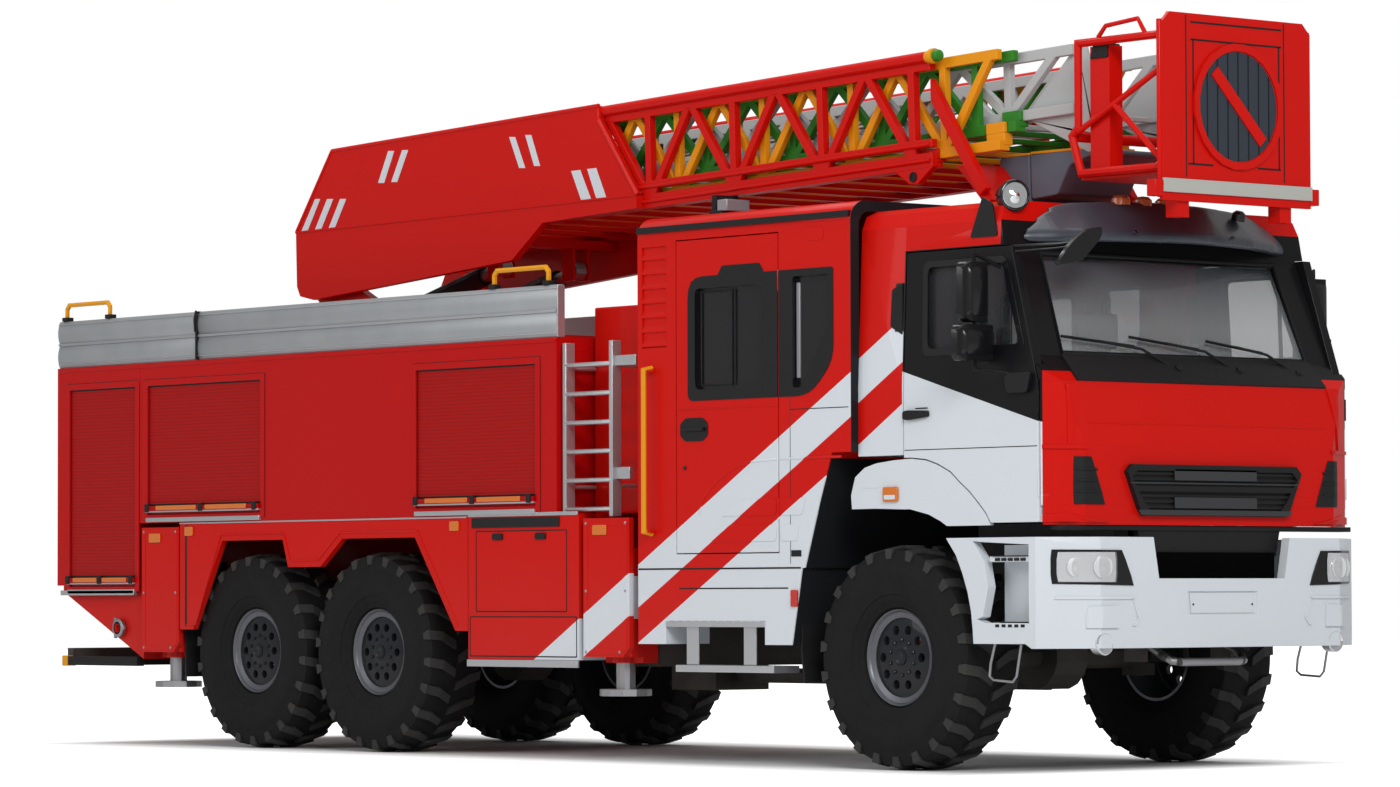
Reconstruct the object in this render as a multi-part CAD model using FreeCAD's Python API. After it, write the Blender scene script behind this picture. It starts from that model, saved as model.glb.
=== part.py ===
# Fire engine: crew cab truck on three axles, with a telescopic ladder and a rescue basket.
# Millimetres. x runs forward from the front axle, y to the left, z up from the ground.
# Each piece is saved shifted by origin_x, so that its origin is the middle of the footprint.
import FreeCAD, Part
import math
import os

V = FreeCAD.Vector
os.makedirs("parts", exist_ok=True)

# Driving sizes that several pieces share
wheelbase = 4849
bogie_pitch = 1320
half_width = 1250
front_half_width = 1200
tail_overhang = 2854
crew_rear_x = -2160
basket_front_x = 1530
lamp_depth = 30
axle_2_x = -wheelbase
axle_3_x = axle_2_x - bogie_pitch
bogie_x = (axle_2_x + axle_3_x) / 2
tail_x = bogie_x - tail_overhang
origin_x = -(tail_x - lamp_depth + basket_front_x) / 2

# Clearances and common thicknesses
gap = 6
seat = 0.3
overrun = 50
plate = 10
sheet = 40
wall = 60
pane = 6
weld = 0.01
half = 1 / 2


# Building shapes
def box(x0, x1, y0, y1, z0, z1):
    return Part.makeBox(x1 - x0, y1 - y0, z1 - z0, V(x0, y0, z0))


def face(points):
    return Part.Face(Part.makePolygon(points + [points[0]]))


def slab_y(outline, y0, y1):
    return face([V(x, y0, z) for x, z in outline]).extrude(V(0, y1 - y0, 0))


def slab_x(outline, x0, x1):
    return face([V(x0, y, z) for y, z in outline]).extrude(V(x1 - x0, 0, 0))


def slab_z(outline, z0, z1):
    return face([V(x, y, z0) for x, y in outline]).extrude(V(0, 0, z1 - z0))


def pin_y(x, y0, y1, z, r):
    return Part.makeCylinder(r, y1 - y0, V(x, y0, z), V(0, 1, 0))


def pin_z(x, y, z0, z1, r):
    return Part.makeCylinder(r, z1 - z0, V(x, y, z0), V(0, 0, 1))


def corners(radius, sides):
    # Corners of a regular polygon whose flats touch the circle.
    step = 2 * math.pi / sides
    r = radius / math.cos(step * half)
    return [(r * math.cos((i + half) * step), r * math.sin((i + half) * step)) for i in range(sides)]


def ring_at(p, along, radius, sides):
    # A regular polygon around p, square to the direction along.
    across = along.cross(V(0, 0, 1))
    if across.Length < weld:
        across = V(0, 1, 0)
    across.normalize()
    up = across.cross(along).normalize()
    return [p + up * a + across * b for a, b in corners(radius, sides)]


def strut(p, q, radius, sides=8):
    # A straight bar of regular section from p to q.
    return face(ring_at(p, (q - p).normalize(), radius, sides)).extrude(q - p)


def closed(faces):
    solid = Part.Solid(Part.Shell(faces))
    if solid.Volume < 0:
        solid.reverse()
    return solid


def pipe(points, radius, sides=8):
    # A bent bar with mitred corners: each corner of the section runs on to the mitre plane.
    runs = [(q - p).normalize() for p, q in zip(points, points[1:])]
    ring = ring_at(points[0], runs[0], radius, sides)
    faces = [face(ring)]
    for k, run in enumerate(runs):
        end = points[k + 1]
        normal = run + runs[k + 1] if k + 1 < len(runs) else run
        moved = [c + run * ((end - c).dot(normal) / run.dot(normal)) for c in ring]
        faces += [face([ring[i - 1], ring[i], moved[i], moved[i - 1]]) for i in range(sides)]
        ring = moved
    faces.append(face(ring))
    return closed(faces)


def turned(profile, sides):
    # The (radius, y) profile goes round the y axis in equal flat steps, with a flat at the bottom.
    step = 2 * math.pi / sides
    stretch = 1 / math.cos(step * half)

    def point(r, y, i):
        a = (i + half) * step
        return V(r * stretch * math.cos(a), y, r * stretch * math.sin(a))

    faces = []
    for i in range(sides):
        for (r0, y0), (r1, y1) in zip(profile, profile[1:] + profile[:1]):
            ring = [point(r0, y0, i), point(r1, y1, i), point(r1, y1, i + 1), point(r0, y0, i + 1)]
            kept = [p for k, p in enumerate(ring) if (p - ring[k - 1]).Length > weld]
            if len(kept) > 2:
                faces.append(face(kept))
    return closed(faces)


def bar(p, q, y0, y1, depth):
    # A flat bar in the xz plane from p to q, between y0 and y1.
    dx, dz = q[0] - p[0], q[1] - p[1]
    length = math.hypot(dx, dz)
    nx, nz = -dz / length * depth / 2, dx / length * depth / 2
    ends = [(p[0] + nx, p[1] + nz), (p[0] - nx, p[1] - nz), (q[0] - nx, q[1] - nz), (q[0] + nx, q[1] + nz)]
    return slab_y(ends, y0, y1)


def seam(p, q, y0, y1):
    # A cut one seat wide through a bent sheet, from its outer corner p past its inner corner q.
    run = math.hypot(q[0] - p[0], q[1] - p[1]) / overrun
    dx, dz = (q[0] - p[0]) / run, (q[1] - p[1]) / run
    return bar((p[0] - dx, p[1] - dz), (q[0] + dx, q[1] + dz), y0, y1, seat)


def fuse(shapes):
    shapes = list(shapes)
    if len(shapes) == 1:
        return shapes[0]
    return shapes[0].multiFuse(shapes[1:]).removeSplitter()


def mirrored(shape):
    return shape.mirror(V(0, 0, 0), V(0, 1, 0))


def both(shapes):
    shapes = shapes if isinstance(shapes, list) else [shapes]
    return shapes + [mirrored(s) for s in shapes]


def placed(shape, x, y, z):
    moved = shape.copy()
    moved.translate(V(x, y, z))
    return moved


def keep(node, shapes):
    shapes = shapes if isinstance(shapes, list) else [shapes]
    solids = [s for shape in shapes for s in shape.Solids]
    whole = solids[0] if len(solids) == 1 else Part.makeCompound(solids)
    whole = whole.copy()
    whole.translate(V(origin_x, 0, 0))
    whole.exportStep("parts/" + node + ".step")
    litres = 1e6
    print(node, len(solids), "valid" if whole.isValid() else "NOT VALID", round(whole.Volume / litres, 1), "litres")


# Tyre and rim, made at the origin with the axle along y and the outer face towards +y
tyre_radius = 624
tyre_width = 412
half_track = 1000
bead_radius = 272
rim_width = 300
rim_wall = 14
hub_radius = 150
hub_reach = 150
lug_height = 18
lug_pairs = 18
rib_half = 25
tyre_side_share = 0.87
tyre_belly_share = 0.52
disc_inset = 40
disc_thickness = 20
cap_radius = 105
cap_rise = 22
disc_hole_count = 10
disc_hole_radius = 24
disc_hole_sides = 8
stub_radius = 38
stub_reach = 60
stub_sides = 12
axle_z = tyre_radius


def lug_band(first, y0, y1):
    # Every second flat of the tread stands out as a lug; first says which.
    step = math.pi / lug_pairs
    stretch = 1 / math.cos(step * half)
    outline = []
    for i in range(2 * lug_pairs):
        r = (tyre_radius + overrun if (i + first) % 2 == 0 else tyre_radius - lug_height) * stretch
        outline += [(r * math.cos((i + s) * step), r * math.sin((i + s) * step)) for s in (half, 1 + half)]
    return slab_y(outline, y0, y1)


def tyre_shape():
    w = tyre_width / 2
    shoulder = tyre_side_share * w
    belly = bead_radius + tyre_belly_share * (tyre_radius - bead_radius)
    rim_half = rim_width / 2 - rim_wall
    profile = [(bead_radius, -rim_half), (belly, -w), (tyre_radius, -shoulder),
               (tyre_radius, shoulder), (belly, w), (bead_radius, rim_half)]
    lugs = fuse([lug_band(0, -w, rib_half), lug_band(1, -rib_half, w)])
    return turned(profile, 2 * lug_pairs).common(lugs)


def rim_shape():
    # A round well, the dished disc with its ring of holes, and the hub with its cap.
    end = rim_width / 2
    outer = bead_radius - seat
    inner = outer - rim_wall
    well = turned([(outer, -end), (outer, end), (inner, end), (inner, -end)], 2 * lug_pairs)
    disc_back = end - disc_inset
    disc_front = disc_back + disc_thickness
    centre = turned([(0, -hub_reach / 2), (hub_radius, -hub_reach / 2), (hub_radius, disc_back),
                     (inner + seat, disc_back), (inner + seat, disc_front), (cap_radius, disc_front),
                     (cap_radius - cap_rise, disc_front + cap_rise), (0, disc_front + cap_rise)], lug_pairs)
    bore = strut(V(0, -hub_reach / 2 - overrun, 0), V(0, -hub_reach / 2 + stub_reach + gap, 0), stub_radius + seat, stub_sides)
    ring = (inner + hub_radius) / 2
    holes = []
    for i in range(disc_hole_count):
        a = 2 * math.pi * i / disc_hole_count
        x, z = ring * math.cos(a), ring * math.sin(a)
        holes.append(strut(V(x, disc_back - overrun, z), V(x, disc_front + overrun, z), disc_hole_radius, disc_hole_sides))
    return fuse([well, centre]).cut([bore] + holes)


left_tyre = tyre_shape()
left_rim = rim_shape()
wheel_places = {
    "front_left": (0, 1), "front_right": (0, -1),
    "mid_left": (axle_2_x, 1), "mid_right": (axle_2_x, -1),
    "rear_left": (axle_3_x, 1), "rear_right": (axle_3_x, -1),
}
for name, (x, side) in wheel_places.items():
    tyre, rim = (left_tyre, left_rim) if side > 0 else (mirrored(left_tyre), mirrored(left_rim))
    keep("tyre_" + name, placed(tyre, x, side * half_track, axle_z))
    keep("rim_" + name, placed(rim, x, side * half_track, axle_z))

# Chassis: channel rails, cross members, tail bar, outrigger housings, tow hoop and cab mounts
rail_half = 430
rail_flange = 80
rail_wall = 10
rail_height = 250
rail_top = 1050
rail_tail_gap = 183
rail_rear_x = tail_x + rail_tail_gap
rail_front_x = 1120
rail_bottom = rail_top - rail_height
cross_width = 90
cross_depth = 160
member_low = (rail_bottom + rail_top - cross_depth) / 2
tail_bar_z = 520
tail_bar_height = 110
tail_bar_depth = 70
tail_bar_inset = 20
tail_bar_x = tail_x + tail_bar_inset
tail_bar_half = 1180
hanger_plate = 20
transfer_x = -2900
transfer_size = 420
engine_length = 1150
engine_width = 620
engine_height = 520
engine_front_x = 900
engine_low = 850
engine_foot = 90
engine_foot_height = 40
front_rig_offset = 302
front_rig_x = crew_rear_x - front_rig_offset
rear_rig_offset = 965
rear_rig_x = axle_3_x - rear_rig_offset
beam_width = 140
beam_height = 190
beam_low = 575
beam_play = 8
rig_wall = 14
housing_half = 985
pad_length = 120
tow_radius = 20
tow_z = 600
tow_rise = 130
tow_half = 400
tow_reach = 160
tow_bend = 60
tow_plate = 24
mount_width = 70
mount_length = 120
rail_inner = rail_half - rail_flange


def rail():
    outer = box(rail_rear_x, rail_front_x, rail_inner, rail_half, rail_bottom, rail_top)
    hollow = box(rail_rear_x - overrun, rail_front_x + overrun, rail_inner - overrun, rail_half - rail_wall,
                 rail_bottom + rail_wall, rail_top - rail_wall)
    return outer.cut(hollow)


def member(x):
    reach = rail_half - rail_wall - seat
    return box(x - cross_width / 2, x + cross_width / 2, -reach, reach, member_low, member_low + cross_depth)


def rig_channels(x):
    # The two channels side by side that the beams slide in: centre lines, front one first.
    return [x + s * (beam_width / 2 + beam_play + rig_wall / 2) for s in (1, -1)]


def rig_housing(x):
    # Plates of the crosswise housing, with a wear pad at each mouth and blocks up to the rails.
    side = beam_width + 2 * beam_play
    x0, x1 = x - side - rig_wall * 3 / 2, x + side + rig_wall * 3 / 2
    floor_top = beam_low - beam_play
    roof_low = beam_low + beam_height + beam_play
    plates = [box(x0, x1, -housing_half, housing_half, floor_top - rig_wall, floor_top),
              box(x0, x1, -housing_half, housing_half, roof_low, roof_low + rig_wall)]
    for xc in (x0 + rig_wall / 2, x, x1 - rig_wall / 2):
        plates.append(box(xc - rig_wall / 2, xc + rig_wall / 2, -housing_half, housing_half, floor_top + seat, roof_low - seat))
    pads = []
    for xc in rig_channels(x):
        pads += both(box(xc - beam_width / 2, xc + beam_width / 2, housing_half - pad_length, housing_half,
                         floor_top + seat, beam_low - seat))
    blocks = both(box(x0, x1, rail_inner, rail_half, roof_low + rig_wall + seat, rail_bottom - seat))
    return plates + pads + blocks


member_places = [rail_rear_x + overrun * 2, axle_3_x - bogie_pitch / 2, bogie_x, axle_2_x + bogie_pitch / 2,
                 transfer_x, -wheelbase * 2 / 5, -wheelbase / 4, engine_front_x + cross_width]
members = [member(x) for x in member_places]
tail_bar = box(tail_bar_x, tail_bar_x + tail_bar_depth, -tail_bar_half, tail_bar_half, tail_bar_z, tail_bar_z + tail_bar_height)
hanger_front_x = rail_rear_x + 2 * tail_bar_depth
hanger = slab_y([(tail_bar_x + tail_bar_depth + seat, tail_bar_z), (tail_bar_x + tail_bar_depth + seat, tail_bar_z + tail_bar_height),
                 (rail_rear_x, rail_top - rail_wall), (hanger_front_x, rail_top - rail_wall), (hanger_front_x, rail_bottom)],
                rail_half + seat, rail_half + hanger_plate)
tow_arm = box(rail_front_x - tow_reach, rail_front_x - seat, rail_inner - tow_plate - seat, rail_inner - seat, tow_z, rail_bottom + cross_depth)
tow_y = rail_inner - tow_plate - 2 * seat - tow_radius
tow_front_x = rail_front_x + tow_reach
tow_hoop = pipe([V(rail_front_x - tow_reach / 2, -tow_y, tow_z + tow_rise), V(tow_front_x - tow_bend, -tow_y, tow_z + tow_bend / 2),
                 V(tow_front_x, -tow_y + tow_bend, tow_z), V(tow_front_x, tow_y - tow_bend, tow_z),
                 V(tow_front_x - tow_bend, tow_y, tow_z + tow_bend / 2), V(rail_front_x - tow_reach / 2, tow_y, tow_z + tow_rise)], tow_radius)

# Engine: one plain block with four feet on the rails
engine_rear_x = engine_front_x - engine_length
engine_feet = []
for x in (engine_rear_x + engine_foot, engine_front_x - 2 * engine_foot):
    engine_feet += both(box(x, x + engine_foot, engine_width / 2 - plate, rail_half, rail_top + seat, rail_top + engine_foot_height))
engine_block = box(engine_rear_x, engine_front_x, -engine_width / 2, engine_width / 2, engine_low, engine_low + engine_height)
keep("engine", fuse([engine_block] + engine_feet))

# Axles: housings with a round middle, leaf springs, shafts and the transfer box
housing_radius = 75
housing_sides = 12
middle_radius = 190
middle_width = 240
middle_sides = 16
king_y = 760
king_radius = 32
king_height = 240
yoke_depth = 70
yoke_edge = 10
knuckle_gap = 3
collar_radius = 55
spring_leaf = 55
spring_width = 75
spring_play = 2
spring_y = rail_inner + spring_play
spring_half_length = 600
shaft_radius = 45
nose_length = 300
nose_radius = 60
front_shaft_z = 488
hub_face_y = half_track - hub_reach / 2
front_reach = king_y - yoke_depth


def spring(x):
    top = rail_bottom - seat
    low = axle_z + housing_radius + seat
    outline = [(x - spring_half_length, top - spring_leaf), (x, low), (x + spring_half_length, top - spring_leaf),
               (x + spring_half_length, top), (x, low + spring_leaf), (x - spring_half_length, top)]
    return both(slab_y(outline, spring_y, spring_y + spring_width))


def across(x, reach, z, radius, sides):
    return strut(V(x, -reach, z), V(x, reach, z), radius, sides)


def housing(x, reach):
    return [across(x, reach, axle_z, housing_radius, housing_sides), across(x, middle_width / 2, axle_z, middle_radius, middle_sides)]


def driven_axle(x):
    spindle = pin_y(x, hub_face_y - overrun, hub_face_y + stub_reach, axle_z, stub_radius)
    return fuse(housing(x, hub_face_y - seat) + both(spindle))


def front_axle():
    edge = king_radius + yoke_edge
    fork = box(-edge, edge, front_reach - yoke_depth, king_y + edge, axle_z - king_height / 2, axle_z + king_height / 2)
    slot = box(-edge - overrun, edge + overrun, front_reach, king_y + edge + overrun,
               axle_z - king_height / 2 + yoke_depth, axle_z + king_height / 2 - yoke_depth)
    nose = strut(V(0, 0, front_shaft_z), V(-nose_length, 0, front_shaft_z), nose_radius, housing_sides)
    return fuse(housing(0, front_reach) + both(fork.cut(slot)) + [nose])


def shaft(x0, x1, z):
    return strut(V(x0 + seat, 0, z), V(x1 - seat, 0, z), shaft_radius)


transfer = box(transfer_x - transfer_size / 2, transfer_x + transfer_size / 2, -transfer_size / 2, transfer_size / 2,
               front_shaft_z - 2 * shaft_radius, member_low - seat)
shafts = [shaft(axle_2_x + middle_radius, transfer_x - transfer_size / 2, axle_z),
          shaft(transfer_x + transfer_size / 2, -nose_length, front_shaft_z),
          shaft(axle_3_x + middle_radius, axle_2_x - middle_radius, axle_z)]
springs = spring(0) + spring(axle_2_x) + spring(axle_3_x)
keep("axles", [front_axle(), driven_axle(axle_2_x), driven_axle(axle_3_x), transfer] + shafts + springs)


# Steering knuckles: a post in the fork, a collar, and the stub that the front wheel turns on
def knuckle():
    z0 = axle_z - king_height / 2 + yoke_depth + seat
    z1 = axle_z + king_height / 2 - yoke_depth - knuckle_gap
    post = pin_z(0, king_y, z0, z1, king_radius)
    collar = strut(V(0, king_y, axle_z), V(0, hub_face_y - seat, axle_z), collar_radius, stub_sides)
    stub = pin_y(0, hub_face_y - overrun, hub_face_y + stub_reach, axle_z, stub_radius)
    return fuse([post, collar.common(box(-wheelbase, wheelbase, 0, half_track, z0, z1)), stub])


keep("knuckle_left", knuckle())
keep("knuckle_right", mirrored(knuckle()))

# Crew cab: hollow, sides cut for a door and a window on each side
crew_front_x = -275
crew_floor_z = 1126
crew_top_z = 3182
crew_arch_z = 1771
crew_arch_x = -675
crew_arch_knee_x = -545
crew_arch_knee_z = 1506
roof_round = 110
door_rear_x = -1810
door_front_x = -895
crew_door_bottom = 1210
crew_door_top = 3035
crew_window_rear_x = -1675
crew_window_top = 2790
crew_window_bottom = 2120
crew_window_margin = 120
quarter_rear_x = -790
quarter_front_x = -443
quarter_low_x = -661
skirt_bottom = 690
skirt_front_x = -700
skirt_low_front_x = -789
skirt_depth = 330
step_rear_x = -1906
step_front_x = -1023
step_recess_z = 820
hinge_gap = 10
hinge_pin_radius = 4.5
hinge_pin_length = 120
crew_hinge_low = 1400
crew_hinge_high = 2700
louvre_rear_x = -2120
louvre_front_x = -1896
louvre_low = 2415
louvre_top = 3007
louvre_count = 7
louvre_depth = 22


def rounded_section(half_y, z0, z1, r):
    # A yz outline with round upper corners, as a face at x = 0.
    a = math.sqrt(half)
    return Part.Face(Part.Wire([
        Part.LineSegment(V(0, -half_y, z0), V(0, half_y, z0)).toShape(),
        Part.LineSegment(V(0, half_y, z0), V(0, half_y, z1 - r)).toShape(),
        Part.Arc(V(0, half_y, z1 - r), V(0, half_y - r + r * a, z1 - r + r * a), V(0, half_y - r, z1)).toShape(),
        Part.LineSegment(V(0, half_y - r, z1), V(0, -half_y + r, z1)).toShape(),
        Part.Arc(V(0, -half_y + r, z1), V(0, -half_y + r - r * a, z1 - r + r * a), V(0, -half_y, z1 - r)).toShape(),
        Part.LineSegment(V(0, -half_y, z1 - r), V(0, -half_y, z0)).toShape(),
    ]))


def along_x(section, x0, x1):
    piece = section.copy()
    piece.translate(V(x0, 0, 0))
    return piece.extrude(V(x1 - x0, 0, 0))


def hinge_pins(x, y, heights):
    return [pin_z(x, y, z, z + hinge_pin_length, hinge_pin_radius) for z in heights]


def louvres():
    # Sloping slats one over another in the recess behind the door.
    pitch = (louvre_top - louvre_low) / louvre_count
    back = -half_width + louvre_depth - seat
    slats = [box(louvre_rear_x + seat, louvre_front_x - seat, back - plate, back, louvre_low + seat, louvre_top - seat)]
    for i in range(louvre_count):
        z = louvre_low + seat + i * pitch
        slats.append(slab_x([(back, z), (-half_width, z + plate), (-half_width, z + 2 * plate), (back, z + pitch - plate)],
                            louvre_rear_x + seat, louvre_front_x - seat))
    return fuse(slats)


crew_outline = [(crew_rear_x, crew_floor_z), (crew_arch_x, crew_floor_z), (crew_arch_knee_x, crew_arch_knee_z),
                (quarter_front_x, crew_arch_z), (crew_front_x, crew_arch_z), (crew_front_x, crew_top_z), (crew_rear_x, crew_top_z)]
crew_inner = [(crew_rear_x + wall, crew_floor_z + wall), (crew_arch_x - wall / 2, crew_floor_z + wall),
              (crew_arch_knee_x - wall / 2, crew_arch_knee_z + wall), (quarter_front_x - wall / 2, crew_arch_z + wall),
              (crew_front_x + overrun, crew_arch_z + wall), (crew_front_x + overrun, crew_top_z - wall), (crew_rear_x + wall, crew_top_z - wall)]
outside = -half_width - overrun
inside = -half_width + wall + overrun
crew_body = along_x(rounded_section(half_width, crew_floor_z - overrun, crew_top_z, roof_round), crew_rear_x, crew_front_x)
crew_body = crew_body.common(slab_y(crew_outline, outside, -outside))
crew_space = along_x(rounded_section(half_width - wall, crew_floor_z, crew_top_z - wall, roof_round - wall / 2),
                     crew_rear_x, crew_front_x + overrun)
crew_space = crew_space.common(slab_y(crew_inner, -half_width, half_width))
crew_door_opening = box(door_rear_x, door_front_x, outside, inside, crew_door_bottom, crew_door_top)
quarter_outline = [(quarter_rear_x, crew_window_bottom), (quarter_low_x, crew_window_bottom),
                   (quarter_front_x, (crew_window_top + crew_window_bottom) / 2), (quarter_front_x, crew_window_top), (quarter_rear_x, crew_window_top)]
quarter_opening = slab_y(quarter_outline, outside, inside)
louvre_recess = box(louvre_rear_x, louvre_front_x, outside, -half_width + louvre_depth, louvre_low, louvre_top)
skirt_top = crew_floor_z - seat
skirt_outline = [(crew_rear_x, skirt_bottom), (step_rear_x, skirt_bottom), (step_rear_x, step_recess_z), (step_front_x, step_recess_z),
                 (step_front_x, skirt_bottom), (skirt_low_front_x, skirt_bottom), (skirt_front_x, skirt_top), (crew_rear_x, skirt_top)]
skirt = slab_y(skirt_outline, -half_width, -half_width + skirt_depth)
crew_shell = crew_body.cut([crew_space] + both([crew_door_opening, quarter_opening, louvre_recess]))

# Seams part the shell into its panels: roof, rear wall, floor, arch plates, and four strips to each side
crew_roof_seam = crew_top_z - roof_round
crew_inner_half = half_width - wall
crew_ends = (crew_rear_x - overrun, crew_front_x + overrun)
crew_seams = [box(*crew_ends, outside, -outside, crew_roof_seam - seat, crew_roof_seam),
              box(crew_rear_x + wall, crew_rear_x + wall + seat, -crew_inner_half, crew_inner_half, 0, crew_roof_seam)]
crew_seams += both(box(*crew_ends, -crew_inner_half, -crew_inner_half + seat, 0, crew_roof_seam))
for x in (door_rear_x - seat, door_front_x):
    crew_seams += both(box(x, x + seat, outside, -crew_inner_half, 0, crew_roof_seam))
for outer, inner in zip(crew_outline[1:4], crew_inner[1:4]):
    crew_seams.append(seam(outer, inner, -crew_inner_half, crew_inner_half))
crew_shell = crew_shell.cut(crew_seams)
crew_pins = hinge_pins(door_front_x - hinge_gap / 2, -half_width, (crew_hinge_low, crew_hinge_high))
keep("crew_cab", [crew_shell] + both(crew_pins + [skirt, louvres()]))

# Crew doors: hinged at the front edge, with a window each
crew_window = (crew_window_rear_x, door_front_x - crew_window_margin)
crew_door = box(door_rear_x + gap, door_front_x - hinge_gap, -half_width, -half_width + wall, crew_door_bottom + gap, crew_door_top - gap)
crew_door = crew_door.cut(box(*crew_window, outside, inside, crew_window_bottom, crew_window_top))
pane_y = -half_width + wall / 2
crew_pane = box(crew_window[0] + seat, crew_window[1] - seat, pane_y - pane / 2, pane_y + pane / 2, crew_window_bottom + seat, crew_window_top - seat)
keep("crew_door_right", crew_door)
keep("crew_door_left", mirrored(crew_door))
keep("crew_door_glass_right", crew_pane)
keep("crew_door_glass_left", mirrored(crew_pane))

# Front cab: hollow, open to the crew cab, with a sloping windscreen
cab_floor_z = 1450
cab_top_z = 3120
cab_rear_x = crew_front_x + seat
face_x = 1300
cowl_x = 1241
cowl_z = 2123
face_top_z = (cab_floor_z + cowl_z) / 2
screen_low_x = 1110
screen_low_z = 2264
screen_top_x = 890
screen_top_z = 2844
brow_x = 840
corner_back = 120
corner_in = 230
screen_half = 958
screen_taper = 39
cab_door_rear_x = 96
cab_door_front_low_x = 1185
cab_door_front_top_x = 955
cab_door_rear_top_x = 100
cab_door_bottom = 1356
cab_door_top = 2870
cab_door_knee_z = 2121
cab_lean = 40
fender_rear_x = -338
fender_rear_z = 1528
fender_top_x = 155
fender_top_z = 1723
fender_knee_x = 552
fender_knee_z = 1582
fender_end_x = 794
fender_rise = [(0.07, 0.52), (0.23, 0.78), (0.43, 0.9), (0.72, 0.97)]
fender_fall = [(0.31, 0.08), (0.56, 0.28), (0.81, 0.59)]
fender_drop = [(0.3, 0.22), (0.6, 0.5), (0.85, 0.76)]
cab_window_rear_x = 276
cab_window_rear_top_x = 262
cab_window_bottom = 2300
cab_window_top = 2790
cab_window_front_low_x = 1050
cab_window_front_top_x = 892
cab_fender_z = 1745
cab_hinge_low = 1500
cab_hinge_high = 1950

cab_profile = [(cab_rear_x, cab_fender_z), (cab_door_rear_x, cab_fender_z), (cab_door_rear_x, cab_floor_z), (face_x, cab_floor_z), (face_x, face_top_z),
               (cowl_x, cowl_z), (screen_low_x, screen_low_z), (screen_top_x, screen_top_z), (brow_x, cab_top_z), (cab_rear_x, cab_top_z)]
cab_inner = [(cab_rear_x - overrun, cab_fender_z + wall), (cab_door_rear_x, cab_fender_z + wall), (cab_door_rear_x + wall, cab_floor_z + wall),
             (face_x - wall, cab_floor_z + wall), (face_x - wall, face_top_z), (cowl_x - wall, cowl_z), (screen_low_x - wall, screen_low_z),
             (screen_top_x - wall, screen_top_z), (brow_x - wall, cab_top_z - wall), (cab_rear_x - overrun, cab_top_z - wall)]


def cab_plan(inset, rear):
    # Seen from above: square at the rear, with the front corners cut off.
    side, corner = front_half_width - inset, face_x - corner_back - inset / 2
    front, slope = face_x - inset / 2, front_half_width - corner_in - inset / 2
    return [(rear, -side), (corner, -side), (front, -slope), (front, slope), (corner, side), (rear, side)]


def side_sheet(inset, depth):
    # A sheet of the right side, inset from the outside: upright to the waist, leaning in above it.
    y = -front_half_width + inset
    lean = y + cab_lean
    outline = [(y, 0), (y, cab_door_knee_z), (lean, cab_top_z), (lean + depth, cab_top_z), (y + depth, cab_door_knee_z), (y + depth, 0)]
    return slab_x(outline, cab_rear_x - overrun, face_x + overrun)


def leaning_section(inset):
    # The yz outline of the cab with leaning sides and chamfered roof edges, as a face at x = 0.
    side, top = front_half_width - inset, cab_top_z - inset
    edge_z = cab_top_z - roof_round
    edge = side - cab_lean * (edge_z - cab_door_knee_z) / (cab_top_z - cab_door_knee_z)
    right = [(-side, 0), (-side, cab_door_knee_z), (-edge, edge_z), (-edge + roof_round * 3 / 10, top - roof_round * 3 / 10), (-edge + roof_round, top)]
    return face([V(0, y, z) for y, z in right + [(-y, z) for y, z in right[::-1]]])


cab_outside = -front_half_width - overrun
cab_body = along_x(leaning_section(0), cab_rear_x, face_x)
cab_body = cab_body.common(slab_y(cab_profile, cab_outside, -cab_outside))
cab_body = cab_body.common(slab_z(cab_plan(0, cab_rear_x - overrun), cab_floor_z - overrun, cab_top_z + overrun))
cab_space = along_x(leaning_section(wall), cab_rear_x - overrun, face_x)
cab_space = cab_space.common(slab_y(cab_inner, cab_outside, -cab_outside))
cab_space = cab_space.common(slab_z(cab_plan(wall, cab_rear_x - 2 * overrun), cab_floor_z, cab_top_z))


def eased(p, q, shares):
    # Points between p and q by their shares of the way in x and in z.
    return [(p[0] + (q[0] - p[0]) * a, p[1] + (q[1] - p[1]) * b) for a, b in shares]


# The fender's crown, from its rear end over the wheel down to the bumper; the door's lower rear edge follows it
fender_heel = (fender_rear_x, fender_rear_z)
fender_crest = (fender_top_x, fender_top_z)
fender_knee = (fender_knee_x, fender_knee_z)
fender_toe = (fender_end_x, cab_door_bottom)
crown_rear = eased(fender_heel, fender_crest, fender_rise)
crown_front = eased(fender_crest, fender_knee, fender_fall) + [fender_knee] + eased(fender_knee, fender_toe, fender_drop)
door_crown = [(cab_door_rear_x, fender_top_z), fender_crest] + crown_front + [fender_toe]
door_frame = [(cab_door_front_low_x, cab_door_bottom), (cab_door_front_low_x, cab_door_knee_z),
              (cab_door_front_top_x, cab_door_top), (cab_door_rear_top_x, cab_door_top)]
cab_door_outline = door_crown + door_frame
cab_door_square = [(cab_door_rear_x, cab_fender_z), (cab_door_rear_x, cab_door_bottom)] + door_frame
cab_door_opening = slab_y(cab_door_square, cab_outside, 0).common(side_sheet(-overrun, overrun + wall + gap))
screen_face = [(screen_low_x - wall / 2, screen_low_z + wall / 2), (screen_top_x - wall / 2, screen_top_z - wall / 2)]
screen_ends = screen_face[:1] * 2 + screen_face[1:] * 2


def screen_slab(inset, reach):
    # The windscreen's shape: narrower at the top, reaching the same way to either side of its plane.
    low, top = screen_half - inset, screen_half - screen_taper - inset
    front = slab_x([(-low, screen_low_z), (low, screen_low_z), (top, screen_top_z), (-top, screen_top_z)], 0, face_x)
    return slab_y([(x + s * reach, z) for s, (x, z) in zip((-1, 1, 1, -1), screen_ends)], -screen_half, screen_half).common(front)


cab_shell = cab_body.cut([cab_space, screen_slab(0, 2 * wall)] + both(cab_door_opening))

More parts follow.
